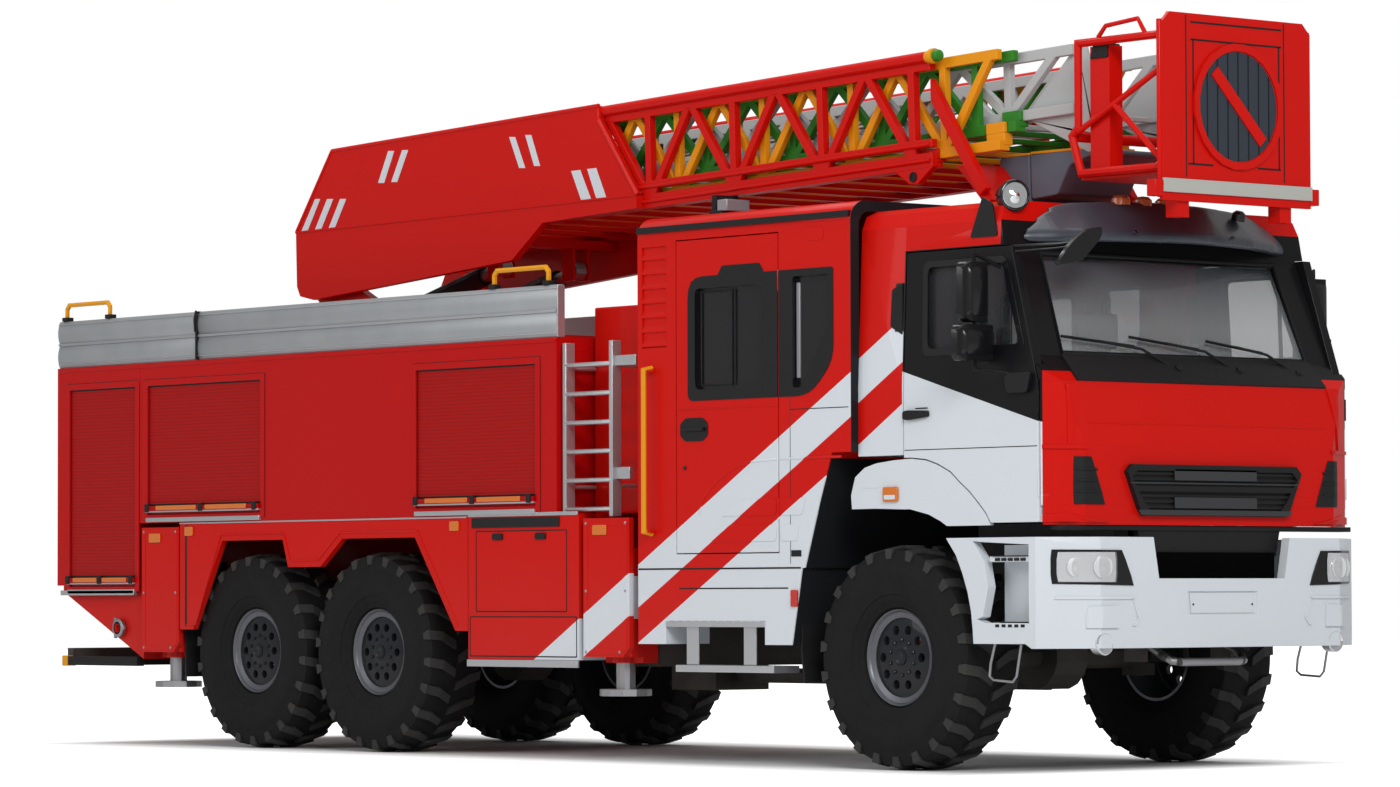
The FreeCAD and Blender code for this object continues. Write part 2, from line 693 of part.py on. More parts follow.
# Seams part this shell too: roof, rear shelf, riser, floor, front wall, cowl, brow, posts and side strips
cab_roof_seam = cab_top_z - roof_round
riser_x = cab_door_rear_x + wall
wide = (cab_outside, -cab_outside)
cab_seams = [box(cab_rear_x - overrun, face_x + overrun, *wide, cab_roof_seam - seat, cab_roof_seam),
             box(cab_door_rear_x - seat, cab_door_rear_x, *wide, 0, cab_roof_seam),
             box(riser_x, riser_x + seat, *wide, 0, cab_floor_z + wall)]
for z in (cab_floor_z + wall, cowl_z, screen_low_z, screen_top_z):
    cab_seams.append(box(riser_x + wall, face_x + overrun, *wide, z, z + seat))
cab_seams += both(side_sheet(wall, seat).common(box(cab_rear_x - overrun, face_x + overrun, *wide, 0, cab_roof_seam)))
cab_shell = cab_shell.cut(cab_seams)
apron_low = 1347
apron_rear_x = cab_door_front_low_x + gap
apron = slab_z(cab_plan(0, cab_rear_x), apron_low, cab_floor_z - seat).common(box(apron_rear_x, face_x, *wide, 0, cab_floor_z))
apron = apron.cut(slab_z(cab_plan(wall, cab_rear_x - overrun), 0, cab_top_z))
cab_hinge_x = cab_door_front_low_x - hinge_gap / 2
cab_pins = hinge_pins(cab_hinge_x, -front_half_width, (cab_hinge_low, cab_hinge_high))
keep("front_cab", [cab_shell, apron] + both(cab_pins))

screen_pane = screen_slab(seat, pane / 2)
quarter_pane = slab_y([(x + seat if x == quarter_rear_x else x - seat, z + seat if z == crew_window_bottom else z - seat)
                       for x, z in quarter_outline], pane_y - pane / 2, pane_y + pane / 2)
keep("glass", [screen_pane] + both(quarter_pane))


# Front cab doors: hinged at the front edge, with a window each and a pair of mirrors on arms
def inset_outline(outline, rear, front, low, top):
    # The same outline moved in by the gaps at its rear, front, bottom and top.
    mid_x = (min(p[0] for p in outline) + max(p[0] for p in outline)) / 2
    mid_z = (min(p[1] for p in outline) + max(p[1] for p in outline)) / 2
    return [(x + (rear if x < mid_x else -front), z + (low if z < mid_z else -top)) for x, z in outline]


cab_window_outline = [(cab_window_rear_x, cab_window_bottom), (cab_window_front_low_x, cab_window_bottom),
                      (cab_window_front_top_x, cab_window_top), (cab_window_rear_top_x, cab_window_top)]
cab_door_edge = [(x + gap, z + gap) for x, z in door_crown] + inset_outline(door_frame, gap, hinge_gap, gap, gap)
cab_door = slab_y(cab_door_edge, cab_outside, 0).common(side_sheet(0, wall))
cab_door = cab_door.cut(slab_y(cab_window_outline, cab_outside, 0))
cab_pane = slab_y(inset_outline(cab_window_outline, seat, seat, seat, seat), cab_outside, 0).common(side_sheet((wall - pane) / 2, pane))
keep("cab_door_glass_right", cab_pane)
keep("cab_door_glass_left", mirrored(cab_pane))

mirror_x = 818
mirror_y = 1330
mirror_depth = 90
mirror_heads = [(2448, 2775, 175), (2237, 2433, 255)]
mirror_top = 2775
mirror_low = 2237
mirror_arm_radius = 11
mirror_round = 30


def mirror_set():
    # Two heads one over the other on a bent arm whose ends meet the door above and below them.
    x0, x1, r = mirror_x - mirror_depth / 2, mirror_x + mirror_depth / 2, mirror_round
    heads = []
    for low, top, width in mirror_heads:
        y0, y1 = -mirror_y - width / 2, -mirror_y + width / 2
        plan = [(x0, y0), (x1 - r, y0), (x1, y0 + r), (x1, y1 - r), (x1 - r, y1), (x0, y1)]
        face_on = [(y0 + r, low), (y1 - r, low), (y1, low + r), (y1, top - r), (y1 - r, top), (y0 + r, top), (y0, top - r), (y0, low + r)]
        heads.append(slab_z(plan, low, top).common(slab_x(face_on, x0, x1)))
    foot = -front_half_width + cab_lean
    arm = pipe([V(x1, foot, mirror_top - r), V(mirror_x, -mirror_y, mirror_top + mirror_depth / 2),
                V(mirror_x, -mirror_y, mirror_low - mirror_depth / 2), V(x1 + 2 * mirror_depth, foot, mirror_low - mirror_depth)], mirror_arm_radius)
    return fuse(heads + [arm])


mirror_side = mirror_set().cut(side_sheet(-seat, front_half_width))
keep("cab_door_right", [cab_door, mirror_side])
keep("cab_door_left", [mirrored(cab_door), mirrored(mirror_side)])

# Front face: the grille in its frame, the black cowl under the windscreen, and the lower cowl over the bumper
grille_half = 678
grille_low_half = 588
grille_top = 1677
grille_bottom = 1397
grille_depth = 34
grille_bar_depth = 22
grille_back_depth = 10
grille_frame = 34
grille_corner = 40
grille_bars = 7
grille_bar_height = 14
grille_ridge = 30
grille_ridge_z = 1545
cowl_thickness = 14
cowl_lift = 5.6
cowl_half = 970
lower_cowl_top_half = 560
lower_cowl_half = 520
lower_cowl_low = 1180
lower_cowl_depth = 40


def grille_outline(inset):
    # The grille seen from the front, wider at the top, its corners cut.
    top, low, r = grille_half - inset, grille_low_half - inset, grille_corner
    z0, z1 = grille_bottom + inset, grille_top - inset
    right = [(low - r, z0), (low, z0 + r), (top, z1 - r), (top - r, z1)]
    return [(-y, z) for y, z in right[::-1]] + right


grille_clip = slab_x(grille_outline(weld), face_x, face_x + grille_depth)
grille = [slab_x(grille_outline(0), face_x + seat, face_x + grille_back_depth),
          slab_x(grille_outline(0), face_x + seat, face_x + grille_depth).cut(slab_x(grille_outline(grille_frame), face_x - overrun, face_x + 2 * overrun)),
          box(face_x + seat, face_x + grille_depth, -grille_half, grille_half, grille_ridge_z - grille_ridge / 2, grille_ridge_z + grille_ridge / 2).common(grille_clip)]
for i in range(grille_bars):
    z = grille_bottom + grille_frame + (i + half) * (grille_top - grille_bottom - 2 * grille_frame) / grille_bars
    grille.append(box(face_x + seat, face_x + grille_bar_depth, -grille_half, grille_half, z - grille_bar_height / 2, z + grille_bar_height / 2).common(grille_clip))
cowl_band = bar((cowl_x + cowl_lift, cowl_z + cowl_lift), (screen_low_x + cowl_lift, screen_low_z + cowl_lift), -cowl_half, cowl_half, cowl_thickness)
lower_cowl = slab_x([(-lower_cowl_half, lower_cowl_low), (lower_cowl_half, lower_cowl_low), (lower_cowl_top_half, apron_low - seat),
                     (-lower_cowl_top_half, apron_low - seat)], face_x - wall, face_x - wall + lower_cowl_depth)
keep("grille", [fuse(grille), cowl_band, lower_cowl])

# Bumper: swept back at the corners, with the middle cut out and recesses for the headlamps and the plate
bumper_front_x = 1378
bumper_half = 1233
bumper_top = 1281
bumper_low = 680
bumper_corner_back = 190
bumper_corner_in = 300
bumper_wall = 60
bumper_cut_half = 540
bumper_cut_low = 1057
bumper_side_reach = 470
bumper_heel = [(476, 1281), (555, 1188), (603, 1096), (647, 988), (675, 879), (687, 780), (693, 705), (1100, 705), (1148, 680)]
niche = [(690, 1262), (775, 1256), (1132, 1240), (1132, 818), (784, 818), (722, 838), (768, 850), (812, 1012), (782, 1150)]
niche_back = 150
tread_thickness = 30
treads_at = [(815, 1148), (784, 790)]
tread_depth = 120
headlamp_low = 1060
headlamp_top = 1215
lamp_recess = 20
plate_half = 270
plate_low = 860
plate_top = 985
plate_recess = 8
bumper_side = [(bumper_side_reach, bumper_half), (bumper_front_x - bumper_corner_back, bumper_half), (bumper_front_x, bumper_half - bumper_corner_in)]
bumper_side_in = [(bumper_front_x - bumper_wall, bumper_half - bumper_corner_in - bumper_wall / 2),
                  (bumper_front_x - bumper_corner_back - bumper_wall, bumper_half - bumper_wall), (bumper_side_reach, bumper_half - bumper_wall)]
bumper_plan = [(x, -y) for x, y in bumper_side] + bumper_side[::-1] + bumper_side_in[::-1] + [(x, -y) for x, y in bumper_side_in]
headlamp_outer = bumper_half - bumper_corner_in
headlamp_inner = bumper_cut_half + 2 * gap
step_side = slab_y(bumper_heel + [(bumper_front_x + overrun, bumper_low - overrun), (bumper_front_x + overrun, bumper_top)], -bumper_half - overrun, bumper_half + overrun)
step_niche = slab_y(niche, -bumper_half - overrun, -bumper_half + bumper_wall + overrun)
bumper_opening = slab_x([(-bumper_cut_half, bumper_top + overrun), (-bumper_cut_half + overrun, bumper_cut_low),
                         (bumper_cut_half - overrun, bumper_cut_low), (bumper_cut_half, bumper_top + overrun)], face_x - overrun, bumper_front_x + overrun)
lamp_pocket = box(bumper_front_x - lamp_recess, bumper_front_x + overrun, headlamp_inner, headlamp_outer, headlamp_low, headlamp_top)
plate_pocket = box(bumper_front_x - plate_recess, bumper_front_x + overrun, -plate_half, plate_half, plate_low, plate_top)
bumper = slab_z(bumper_plan, bumper_low, bumper_top).common(step_side).cut([bumper_opening, plate_pocket] + both([lamp_pocket, step_niche]))
niche_x0, niche_x1 = treads_at[1][0] - seat, niche[2][0] + bumper_wall / 2
niche_y = -bumper_half + niche_back
niche_plate = box(niche_x0, niche_x1, niche_y, niche_y + plate, niche[3][1] - tread_thickness, niche[2][1])
bumper_treads = [box(x, niche[2][0] - seat, -bumper_half + plate, niche_y - seat, z, z + tread_thickness) for x, z in treads_at[:1]]
bumper_treads += [box(x, niche[2][0] - seat, -bumper_half + bumper_wall + seat, niche_y - seat, z, z + tread_thickness) for x, z in treads_at[1:]]
niche_end = box(niche_x1 - 2 * plate, niche_x1, -bumper_half + bumper_wall + seat, niche_y - seat, niche[3][1] - tread_thickness, niche[2][1])
bumper_bracket = box(rail_front_x + seat, bumper_front_x - bumper_wall - seat, rail_inner, rail_half, rail_bottom + rail_wall, rail_top - rail_wall)
keep("bumper", [bumper] + both([bumper_bracket, niche_plate, niche_end] + bumper_treads))

# Cab mounts stand on the rails and end just under the two floors
mounts = []
for x, top in ((crew_rear_x + 2 * mount_length, crew_floor_z), (crew_arch_x - mount_length, crew_floor_z), (engine_front_x + mount_length, cab_floor_z)):
    mounts += both(box(x - mount_length / 2, x + mount_length / 2, rail_half - mount_width, rail_half, rail_top + seat, top - seat))
keep("chassis_frame", both([rail(), hanger, tow_arm]) + members + [tail_bar, tow_hoop] + rig_housing(front_rig_x) + rig_housing(rear_rig_x) + mounts)

# Visor over the windscreen, bowed in plan
visor_rear_x = 722
visor_front_x = 1166
visor_tip_x = 823
visor_low = 2905
visor_half = 1138
visor_thickness = 28
visor_steps = 8
visor_mid_x = (visor_rear_x + visor_front_x) / 2
visor_tip_low = 2881
visor_top_z = 3148
visor_top_drop = 70
visor_lip = 50


def visor_section(i):
    # The section across the visor's width at one step: lip bottom, lip top, roof edge top and bottom.
    y = visor_half * (2 * i / visor_steps - 1)
    bow = 1 - (y / visor_half) ** 2
    lip_x = visor_tip_x + (visor_front_x - visor_tip_x) * bow
    lip_z = visor_tip_low + (visor_low - visor_tip_low) * bow
    top_x = visor_rear_x + (visor_mid_x - visor_rear_x) * bow
    top_z = visor_top_z - visor_top_drop * (1 - bow)
    return [V(lip_x, y, lip_z), V(lip_x, y, lip_z + visor_lip), V(top_x, y, top_z),
            V(top_x - visor_lip, y, top_z), V(top_x - visor_lip, y, top_z - visor_thickness), V(lip_x - visor_lip, y, lip_z)]


def skin(sections):
    # A closed solid through a row of outlines of equal length, in triangles.
    faces = [face(sections[0]), face(sections[-1])]
    for a, b in zip(sections, sections[1:]):
        for k in range(len(a)):
            faces += [face([a[k - 1], a[k], b[k]]), face([a[k - 1], b[k], b[k - 1]])]
    return closed(faces)


visor = skin([visor_section(i) for i in range(visor_steps + 1)])
visor = visor.cut([placed(cab_body, seat, 0, 0), placed(cab_body, 0, 0, seat)])
visor = max(visor.Solids, key=lambda s: s.Volume)
keep("visor", visor)

# Front fenders over the wheels: the face with its crown, and the band under the cab
fender_depth = 300
fender_face = 50
fender_arch = [(451, 1348), (402, 1374), (303, 1413), (153, 1444), (-151, 1452), (-331, 1451)]
fender_outline = [fender_heel] + crown_rear + [fender_crest] + crown_front + [fender_toe, (fender_end_x, fender_arch[0][1])] + fender_arch
fender = slab_y(fender_outline, -front_half_width, -front_half_width + fender_face)
fender_band = slab_y(fender_arch[4:] + [fender_heel, (cab_door_rear_x - gap, fender_rear_z), (cab_door_rear_x - gap, cab_floor_z - gap)],
                     -front_half_width + fender_face / 2, -front_half_width + fender_depth)
door_sweep = slab_y(cab_door_outline, cab_outside, -front_half_width + wall + gap)
cab_part = cab_shell.common(box(fender_rear_x, fender_end_x, -front_half_width, 0, cab_floor_z - overrun, cab_top_z))
fender = fuse([fender.cut([door_sweep, cab_part]), fender_band])
fender = max(fender.Solids, key=lambda s: s.Volume)
keep("fenders", both(fender))

# Inside: dashboard on two posts, steering wheel and column, seat bases
dash_x = 1040
dash_top = 2080
dash_depth = 260
dash_low = 1780
dash_crown = 16
steering_x = 640
steering_z = 2150
steering_y = 480
steering_radius = 215
steering_grip = 16
steering_sides = 16
column_radius = 32
dash_front_x = dash_x + dash_depth * 2 / 5
dash_end = front_half_width - wall - seat - 2 * gap
dash = slab_y([(dash_front_x, dash_low), (dash_front_x, dash_top), (dash_x, dash_top + dash_crown),
               (dash_x - dash_depth, dash_top - dash_crown), (dash_x - dash_depth, dash_low)], -dash_end, dash_end)
dash_post = box(dash_x - dash_depth / 2, dash_x, dash_end - 5 * wall, dash_end - 4 * wall, cab_floor_z + wall + seat, dash_low - seat)
column_top = V(steering_x, steering_y, steering_z)
column_foot = V(dash_x - dash_depth - seat, steering_y, (dash_low + dash_top) / 2)
column_line = (column_foot - column_top).normalize()
grip_ring = [(steering_radius + steering_grip * a, steering_grip * b) for a, b in ((0, -1), (1, 0), (0, 1), (-1, 0))]
steering = fuse([turned(grip_ring, steering_sides),
                 strut(V(-steering_radius, 0, 0), V(steering_radius, 0, 0), steering_grip * 2 / 3),
                 strut(V(0, 0, 0), V(0, (column_foot - column_top).Length, 0), column_radius)])
steering.rotate(V(0, 0, 0), V(0, 1, 0).cross(column_line), math.degrees(V(0, 1, 0).getAngle(column_line)))
steering.translate(column_top)
steering = steering.cut(box(dash_x - dash_depth - seat, face_x, 0, front_half_width, cab_floor_z, cab_top_z))

# Seats: two in front and a bench in the crew cab, each a cushion and a back on its base
chair_width = 520
chair_depth = 500
chair_cushion = 130
chair_back = 640
chair_z = 1960
chair_front_x = 480
bench_front_x = -1150
bench_half = 1040
bench_z = 1560
stool_width = 360
stool_depth = 180


def chair(front, y0, y1, z, floor):
    mid = (y0 + y1) / 2
    cushion = box(front - chair_depth, front, y0, y1, z - chair_cushion, z)
    back = box(front - chair_depth - chair_cushion, front - chair_depth - seat, y0, y1, z - chair_cushion, z + chair_back)
    base = box(front - chair_cushion - stool_depth, front - chair_cushion, mid - stool_width / 2, mid + stool_width / 2,
               floor + seat, z - chair_cushion - seat)
    return cushion, back, base


chairs = [chair(chair_front_x, s * steering_y - chair_width / 2, s * steering_y + chair_width / 2, chair_z, cab_floor_z + wall) for s in (1, -1)]
chairs.append(chair(bench_front_x, -bench_half, bench_half, bench_z, crew_floor_z + wall))
keep("seats", [c[0] for c in chairs] + [c[1] for c in chairs])
keep("cab_interior", [dash, steering] + both(dash_post) + [c[2] for c in chairs])

# Equipment body: plates round the bays, with the side frames open for three shutters a side
body_front_gap = 770
body_front_x = crew_rear_x - body_front_gap
body_top = 2517
body_low = 1460
tail_low = rail_top + seat
tail_step_offset = 1225
tail_step_x = axle_3_x - tail_step_offset
shutter_a_margin = 138
shutter_a_front_gap = 11
shutter_a_low = 1030
shutter_top = 2375
shutter_b_rear_offset = 1117
shutter_b_front_offset = 198
shutter_c_rear_offset = 515
shutter_c_front_gap = 185
shutter_low = 1500
shutter_thickness = 18
shutter_inset = 8
pedal_depth = 34
pedal_height = 40
pedal_rise = 30
shutter_bays = [(tail_x + shutter_a_margin, tail_step_x - shutter_a_front_gap, shutter_a_low),
                (axle_3_x - shutter_b_rear_offset, axle_3_x + shutter_b_front_offset, shutter_low),
                (axle_2_x + shutter_c_rear_offset, body_front_x - shutter_c_front_gap, shutter_low)]
side_outline = [(tail_x, tail_low), (tail_step_x, tail_low), (tail_step_x, body_low), (body_front_x, body_low), (body_front_x, body_top), (tail_x, body_top)]
doorways = [box(x0, x1, outside, -half_width + sheet + overrun, z0, shutter_top) for x0, x1, z0 in shutter_bays]
body_side = slab_y(side_outline, -half_width, -half_width + sheet).cut(doorways + [box(tail_step_x - seat, tail_step_x, outside, 0, 0, body_top + overrun)])
inner_half = half_width - sheet - seat
roof_low = body_top - 2 * sheet
roof_plate = box(tail_x, body_front_x, -inner_half, inner_half, roof_low, body_top)
main_floor = box(tail_step_x, body_front_x, -inner_half, inner_half, body_low, body_low + sheet)
tail_floor = box(tail_x, tail_step_x - sheet - seat, -inner_half, inner_half, tail_low, tail_low + sheet)
step_wall = box(tail_step_x - sheet, tail_step_x - seat, -inner_half, inner_half, tail_low, body_low + sheet)
rear_wall = box(tail_x, tail_x + sheet, -inner_half, inner_half, tail_low + sheet + seat, roof_low - seat)
partitions = []
for x in (shutter_bays[1][0] - sheet, shutter_bays[1][1] + seat, shutter_bays[2][0] - sheet, body_front_x - sheet):
    partitions.append(box(x, x + sheet, -inner_half, inner_half, body_low + sheet + seat, roof_low - seat))
slew_offset = 209
slew_x = bogie_x + slew_offset
ring_radius = 640
ring_height = 60
deck_z = body_top + ring_height
slew_ring = pin_z(slew_x, 0, body_top + seat, deck_z - seat, ring_radius)
keep("equipment_body", both(body_side) + [roof_plate, main_floor, tail_floor, step_wall, rear_wall, slew_ring] + partitions)

curtains = []
pedals = []
for x0, x1, z0 in shutter_bays:
    y0 = -half_width + shutter_inset
    curtains.append(box(x0 + seat, x1 - seat, y0, y0 + shutter_thickness, z0 + seat, shutter_top - seat))
    pedals.append(box(x0 + 2 * gap, x1 - 2 * gap, y0 - pedal_depth, y0 - seat, z0 + pedal_rise, z0 + pedal_rise + pedal_height))
keep("shutters", both(curtains + pedals))

# Lower lockers in front of and behind the wheels, and the arch panels over the bogie
locker_front_gap = 557
locker_front_x = crew_rear_x - locker_front_gap
wheel_clearance = 430
locker_rear_x = axle_2_x + tyre_radius + wheel_clearance
locker_low = 590
locker_depth = 620
tail_locker_low = 562
arch_low = 760
arch_top = 1335
arch_middle = 1160
arch_skirt = 731
arch_slope = 250
arch_flat = 510
arch_hump = 175
arch_thickness = 40
arch_front_x = locker_rear_x - gap
arch_rear_x = axle_3_x - arch_skirt
arch_outline = [(arch_rear_x, body_low - seat), (arch_rear_x, arch_low), (arch_rear_x + arch_slope * 3 / 5, arch_low), (axle_3_x - arch_slope, arch_top),
                (axle_3_x + arch_slope + arch_hump, arch_top), (bogie_x - arch_hump, arch_middle), (bogie_x + arch_hump, arch_middle),
                (axle_2_x - arch_slope, arch_top), (axle_2_x + arch_flat, arch_top), (arch_front_x - arch_slope / 2, arch_low),
                (arch_front_x, arch_low), (arch_front_x, body_low - seat)]
locker = box(locker_rear_x, locker_front_x, -half_width, -half_width + locker_depth, locker_low, body_low - seat)
arch_panel = slab_y(arch_outline, -half_width, -half_width + arch_thickness)
tail_locker_y = -1200
tail_locker = slab_y([(tail_x, tail_low - seat - sheet), (tail_step_x, tail_locker_low), (tail_step_x, tail_low - seat), (tail_x, tail_low - seat)],
                     tail_locker_y, -half_width + locker_depth)
# A hose coupling on the near side, just ahead of the tail lockers' middle
coupling_offset = 261
coupling_z = 767
coupling_radius = 42
coupling_bore = 26
coupling_length = 40
coupling_depth = 30
coupling_x = tail_step_x - coupling_offset
coupling = pin_y(coupling_x, tail_locker_y - coupling_length, tail_locker_y - seat, coupling_z, coupling_radius)
coupling = coupling.cut(pin_y(coupling_x, outside, tail_locker_y - coupling_length + coupling_depth, coupling_z, coupling_bore))
keep("lower_body", both([locker, arch_panel, tail_locker]) + [coupling])

# Side parapets of the roof: two bulged profiles one over the other, in two lengths
parapet_top = 2834
parapet_joint_offset = 536
parapet_joint_x = axle_3_x - parapet_joint_offset
parapet_thickness = 62
parapet_bulge = 16
parapet_joint_gap = 4


def parapet(x0, x1):
    z0, z1 = body_top + seat, parapet_top
    zm = (z0 + z1) / 2
    y_out, y_in = -half_width + parapet_bulge, -half_width + parapet_thickness
    wire = Part.Wire([
        Part.LineSegment(V(x0, y_in, z0), V(x0, y_out, z0)).toShape(),
        Part.Arc(V(x0, y_out, z0), V(x0, y_out - parapet_bulge, (z0 + zm) / 2), V(x0, y_out, zm)).toShape(),
        Part.Arc(V(x0, y_out, zm), V(x0, y_out - parapet_bulge, (zm + z1) / 2), V(x0, y_out, z1)).toShape(),
        Part.LineSegment(V(x0, y_out, z1), V(x0, y_in, z1)).toShape(),
        Part.LineSegment(V(x0, y_in, z1), V(x0, y_in, z0)).toShape(),
    ])
    return Part.Face(wire).extrude(V(x1 - x0, 0, 0))


keep("parapets", both([parapet(tail_x, parapet_joint_x - parapet_joint_gap), parapet(parapet_joint_x, body_front_x)]))

# Narrow cabinet between the body and the crew cab, and the access ladder on its near side
cabinet_front_gap = 70
cabinet_rear_gap = 30
cabinet_front_x = crew_rear_x - cabinet_front_gap
cabinet_rear_x = body_front_x + cabinet_rear_gap
cabinet_half = 980
cabinet_top = 2700
keep("cabinet", box(cabinet_rear_x, cabinet_front_x, -cabinet_half, cabinet_half, body_low, cabinet_top))

steps_y = 1180
steps_rear_x = cabinet_rear_x + sheet
steps_front_x = steps_rear_x + 2 * sheet * 11 / 2
steps_low = 1475
steps_top = 2480
steps_tread_count = 4
steps_tube = 16
tread_radius = 13
stile_rear, stile_front = V(steps_rear_x, -steps_y, steps_low), V(steps_front_x, -steps_y, steps_low)
rise = V(0, 0, steps_top - steps_low)
stiles = [strut(p, p + rise, steps_tube) for p in (stile_rear, stile_front)]
treads = []
for i in range(steps_tread_count):
    lift = rise * ((i + half) / steps_tread_count)
    treads.append(strut(stile_rear + lift + V(steps_tube + seat, 0, 0), stile_front + lift - V(steps_tube + seat, 0, 0), tread_radius))
stays = []
for p in (stile_rear, stile_front):
    for share in (1 / 4, 3 / 4):
        lift = rise * share
        stays.append(strut(p + lift + V(0, steps_tube + seat, 0), p + lift + V(0, steps_y - cabinet_half - seat, 0), tread_radius))
keep("access_ladder", stiles + treads + stays)

# Yellow hand rails by the crew doors and on the parapets, each a bent bar whose feet stand on what carries it
rail_bar = 14
grab_x = -2030
grab_low = 1331
grab_top = 2300
grab_standoff = 62
parapet_rail_lift = 110
parapet_rail_y = half_width - parapet_thickness / 2
parapet_rails = [(tail_x + 70, tail_x + 590), (body_front_x - 640, body_front_x - 110)]
grab_y = half_width + seat
grab = pipe([V(grab_x, -grab_y, grab_low), V(grab_x, -grab_y - grab_standoff, grab_low + rail_bar), V(grab_x, -grab_y - grab_standoff, grab_top - rail_bar),
             V(grab_x, -grab_y, grab_top)], rail_bar, 6).common(box(crew_rear_x, crew_front_x, -2 * half_width, -grab_y, 0, crew_top_z))
rails = [grab]
for x0, x1 in parapet_rails:
    z0, z1 = parapet_top + seat, parapet_top + parapet_rail_lift
    hoop = pipe([V(x0, -parapet_rail_y, z0 - overrun), V(x0, -parapet_rail_y, z1 - 2 * rail_bar), V(x0 + 2 * rail_bar, -parapet_rail_y, z1),
                 V(x1 - 2 * rail_bar, -parapet_rail_y, z1), V(x1, -parapet_rail_y, z1 - 2 * rail_bar), V(x1, -parapet_rail_y, z0 - overrun)], rail_bar, 6)
    rails.append(hoop.common(box(x0 - overrun, x1 + overrun, -half_width, 0, z0, z1 + overrun)))
keep("handrails", both(rails))

# Steps under the crew doors: a folding step on two hangers, and two treads in the skirt's recess
fold_rear_x = -1835
fold_front_x = -963
fold_low = 530
fold_top = 570
fold_depth = 200
hanger_width = 110
hanger_places = (-1690, -1180)
fold_y = -half_width + plate
fold_plank = box(fold_rear_x, fold_front_x, fold_y, fold_y + fold_depth, fold_low, fold_top)
fold_hangers = [box(x - hanger_width / 2, x + hanger_width / 2, fold_y + plate, fold_y + 2 * plate, fold_top + seat, (skirt_bottom if x < step_rear_x or x > step_front_x else step_recess_z) - seat)
                for x in hanger_places]
keep("crew_steps", both([fold_plank] + fold_hangers))

# Outriggers: a beam to each side out of the crosswise housings, and a jack at each beam's end
cover_width = 430
cover_thickness = 40
cover_low = 610
cover_top = 1430
cover_bevel = 60
jack_radius = 55
jack_tube_radius = 75
jack_sides = 12
jack_top = 1250
jack_pad_radius = 150
jack_pad_low = 380
jack_pad_height = 40
jack_y = 1100
beam_inner = 900


def beam(x, channel_x):
    # The left beam: its inner end runs in the channel at channel_x, its head carries the jack tube.
    arm = box(channel_x - beam_width / 2, channel_x + beam_width / 2, -beam_inner, jack_y - jack_tube_radius / 2, beam_low, beam_low + beam_height)
    socket = strut(V(x, jack_y, beam_low), V(x, jack_y, jack_top), jack_tube_radius, jack_sides)
    x0, x1 = x - cover_width / 2, x + cover_width / 2
    head = box(x0 + cover_thickness, x1 - cover_thickness, jack_y - plate, jack_y + plate, beam_low, jack_top)
    neck = box(x0 + cover_thickness, x1 - cover_thickness, housing_half + beam_play, jack_y, beam_low, beam_low + beam_height)
    cover = slab_y([(x0, cover_low), (x1 - cover_bevel, cover_low), (x1, cover_low + cover_bevel), (x1, cover_top), (x0, cover_top)],
                   half_width - cover_thickness, half_width)
    ribs = [box(xr - plate, xr + plate, jack_y, half_width - cover_thickness, cover_low, jack_top) for xr in (x0 + cover_thickness, x1 - cover_thickness)]
    bore = strut(V(x, jack_y, beam_low - overrun), V(x, jack_y, jack_top - 2 * plate), jack_radius + seat, jack_sides)
    return fuse([arm, socket, head, neck, cover] + ribs).cut(bore)


def jack(x):
    top = jack_top - 3 * plate
    leg = strut(V(x, jack_y, jack_pad_low + jack_pad_height), V(x, jack_y, top), jack_radius, jack_sides)
    foot = strut(V(x, jack_y, jack_pad_low), V(x, jack_y, jack_pad_low + jack_pad_height), jack_pad_radius, jack_sides)
    return fuse([leg, foot])


for name, x in (("front", front_rig_x), ("rear", rear_rig_x)):
    front_channel, rear_channel = rig_channels(x)
    keep("outrigger_" + name + "_left", beam(x, front_channel))
    keep("outrigger_" + name + "_right", mirrored(beam(x, rear_channel)))
    keep("jack_" + name + "_left", jack(x))
    keep("jack_" + name + "_right", mirrored(jack(x)))

# Turntable: the slewing deck with brackets for the ladder's pivot and the rams' feet
deck_radius = 900
deck_height = 50
deck_sides = 36
pivot_offset = 980
pivot_x = slew_x - pivot_offset
pivot_z = 3030
pivot_radius = 60
bracket_y = 500
bracket_thickness = 60
bracket_head = 110
ram_base_offset = 380
ram_base_x = pivot_x + ram_base_offset
ram_base_z = 2755
ram_y = 300
ram_eye_u = 1600
ram_eye_v = -30
ram_radius = 62
ram_rod_radius = 38
ram_pin_radius = 28
ram_sides = 12
ram_cheek = 30
ram_lug_half = 60
ram_lug_offset = 60
deck_top = deck_z + deck_height
deck = strut(V(slew_x, 0, deck_z), V(slew_x, 0, deck_top), deck_radius, deck_sides)
bracket_outline = [(slew_x + deck_radius * 9 / 20, deck_top + seat), (slew_x - deck_radius * 4 / 5, deck_top + seat), (pivot_x - bracket_head, pivot_z - bracket_head * 2 / 5),
                   (pivot_x - bracket_head, pivot_z), (pivot_x - bracket_head * 2 / 5, pivot_z + bracket_head), (pivot_x + bracket_head * 3 / 5, pivot_z + bracket_head),
                   (slew_x - deck_radius / 10, deck_top + bracket_head)]
bracket = slab_y(bracket_outline, bracket_y, bracket_y + bracket_thickness)
bracket = bracket.cut(pin_y(pivot_x, bracket_y - overrun, bracket_y + bracket_thickness + overrun, pivot_z, pivot_radius + seat))
cheeks = []
for s in (-1, 1):
    yc = ram_y + s * (ram_radius + ram_cheek)
    cheek = box(ram_base_x - 2 * ram_cheek, ram_base_x + 2 * ram_cheek, yc - ram_cheek / 2, yc + ram_cheek / 2, deck_top + seat, ram_base_z + 2 * ram_cheek)
    cheeks.append(cheek.cut(pin_y(ram_base_x, 0, 2 * ram_y, ram_base_z, ram_pin_radius + seat)))
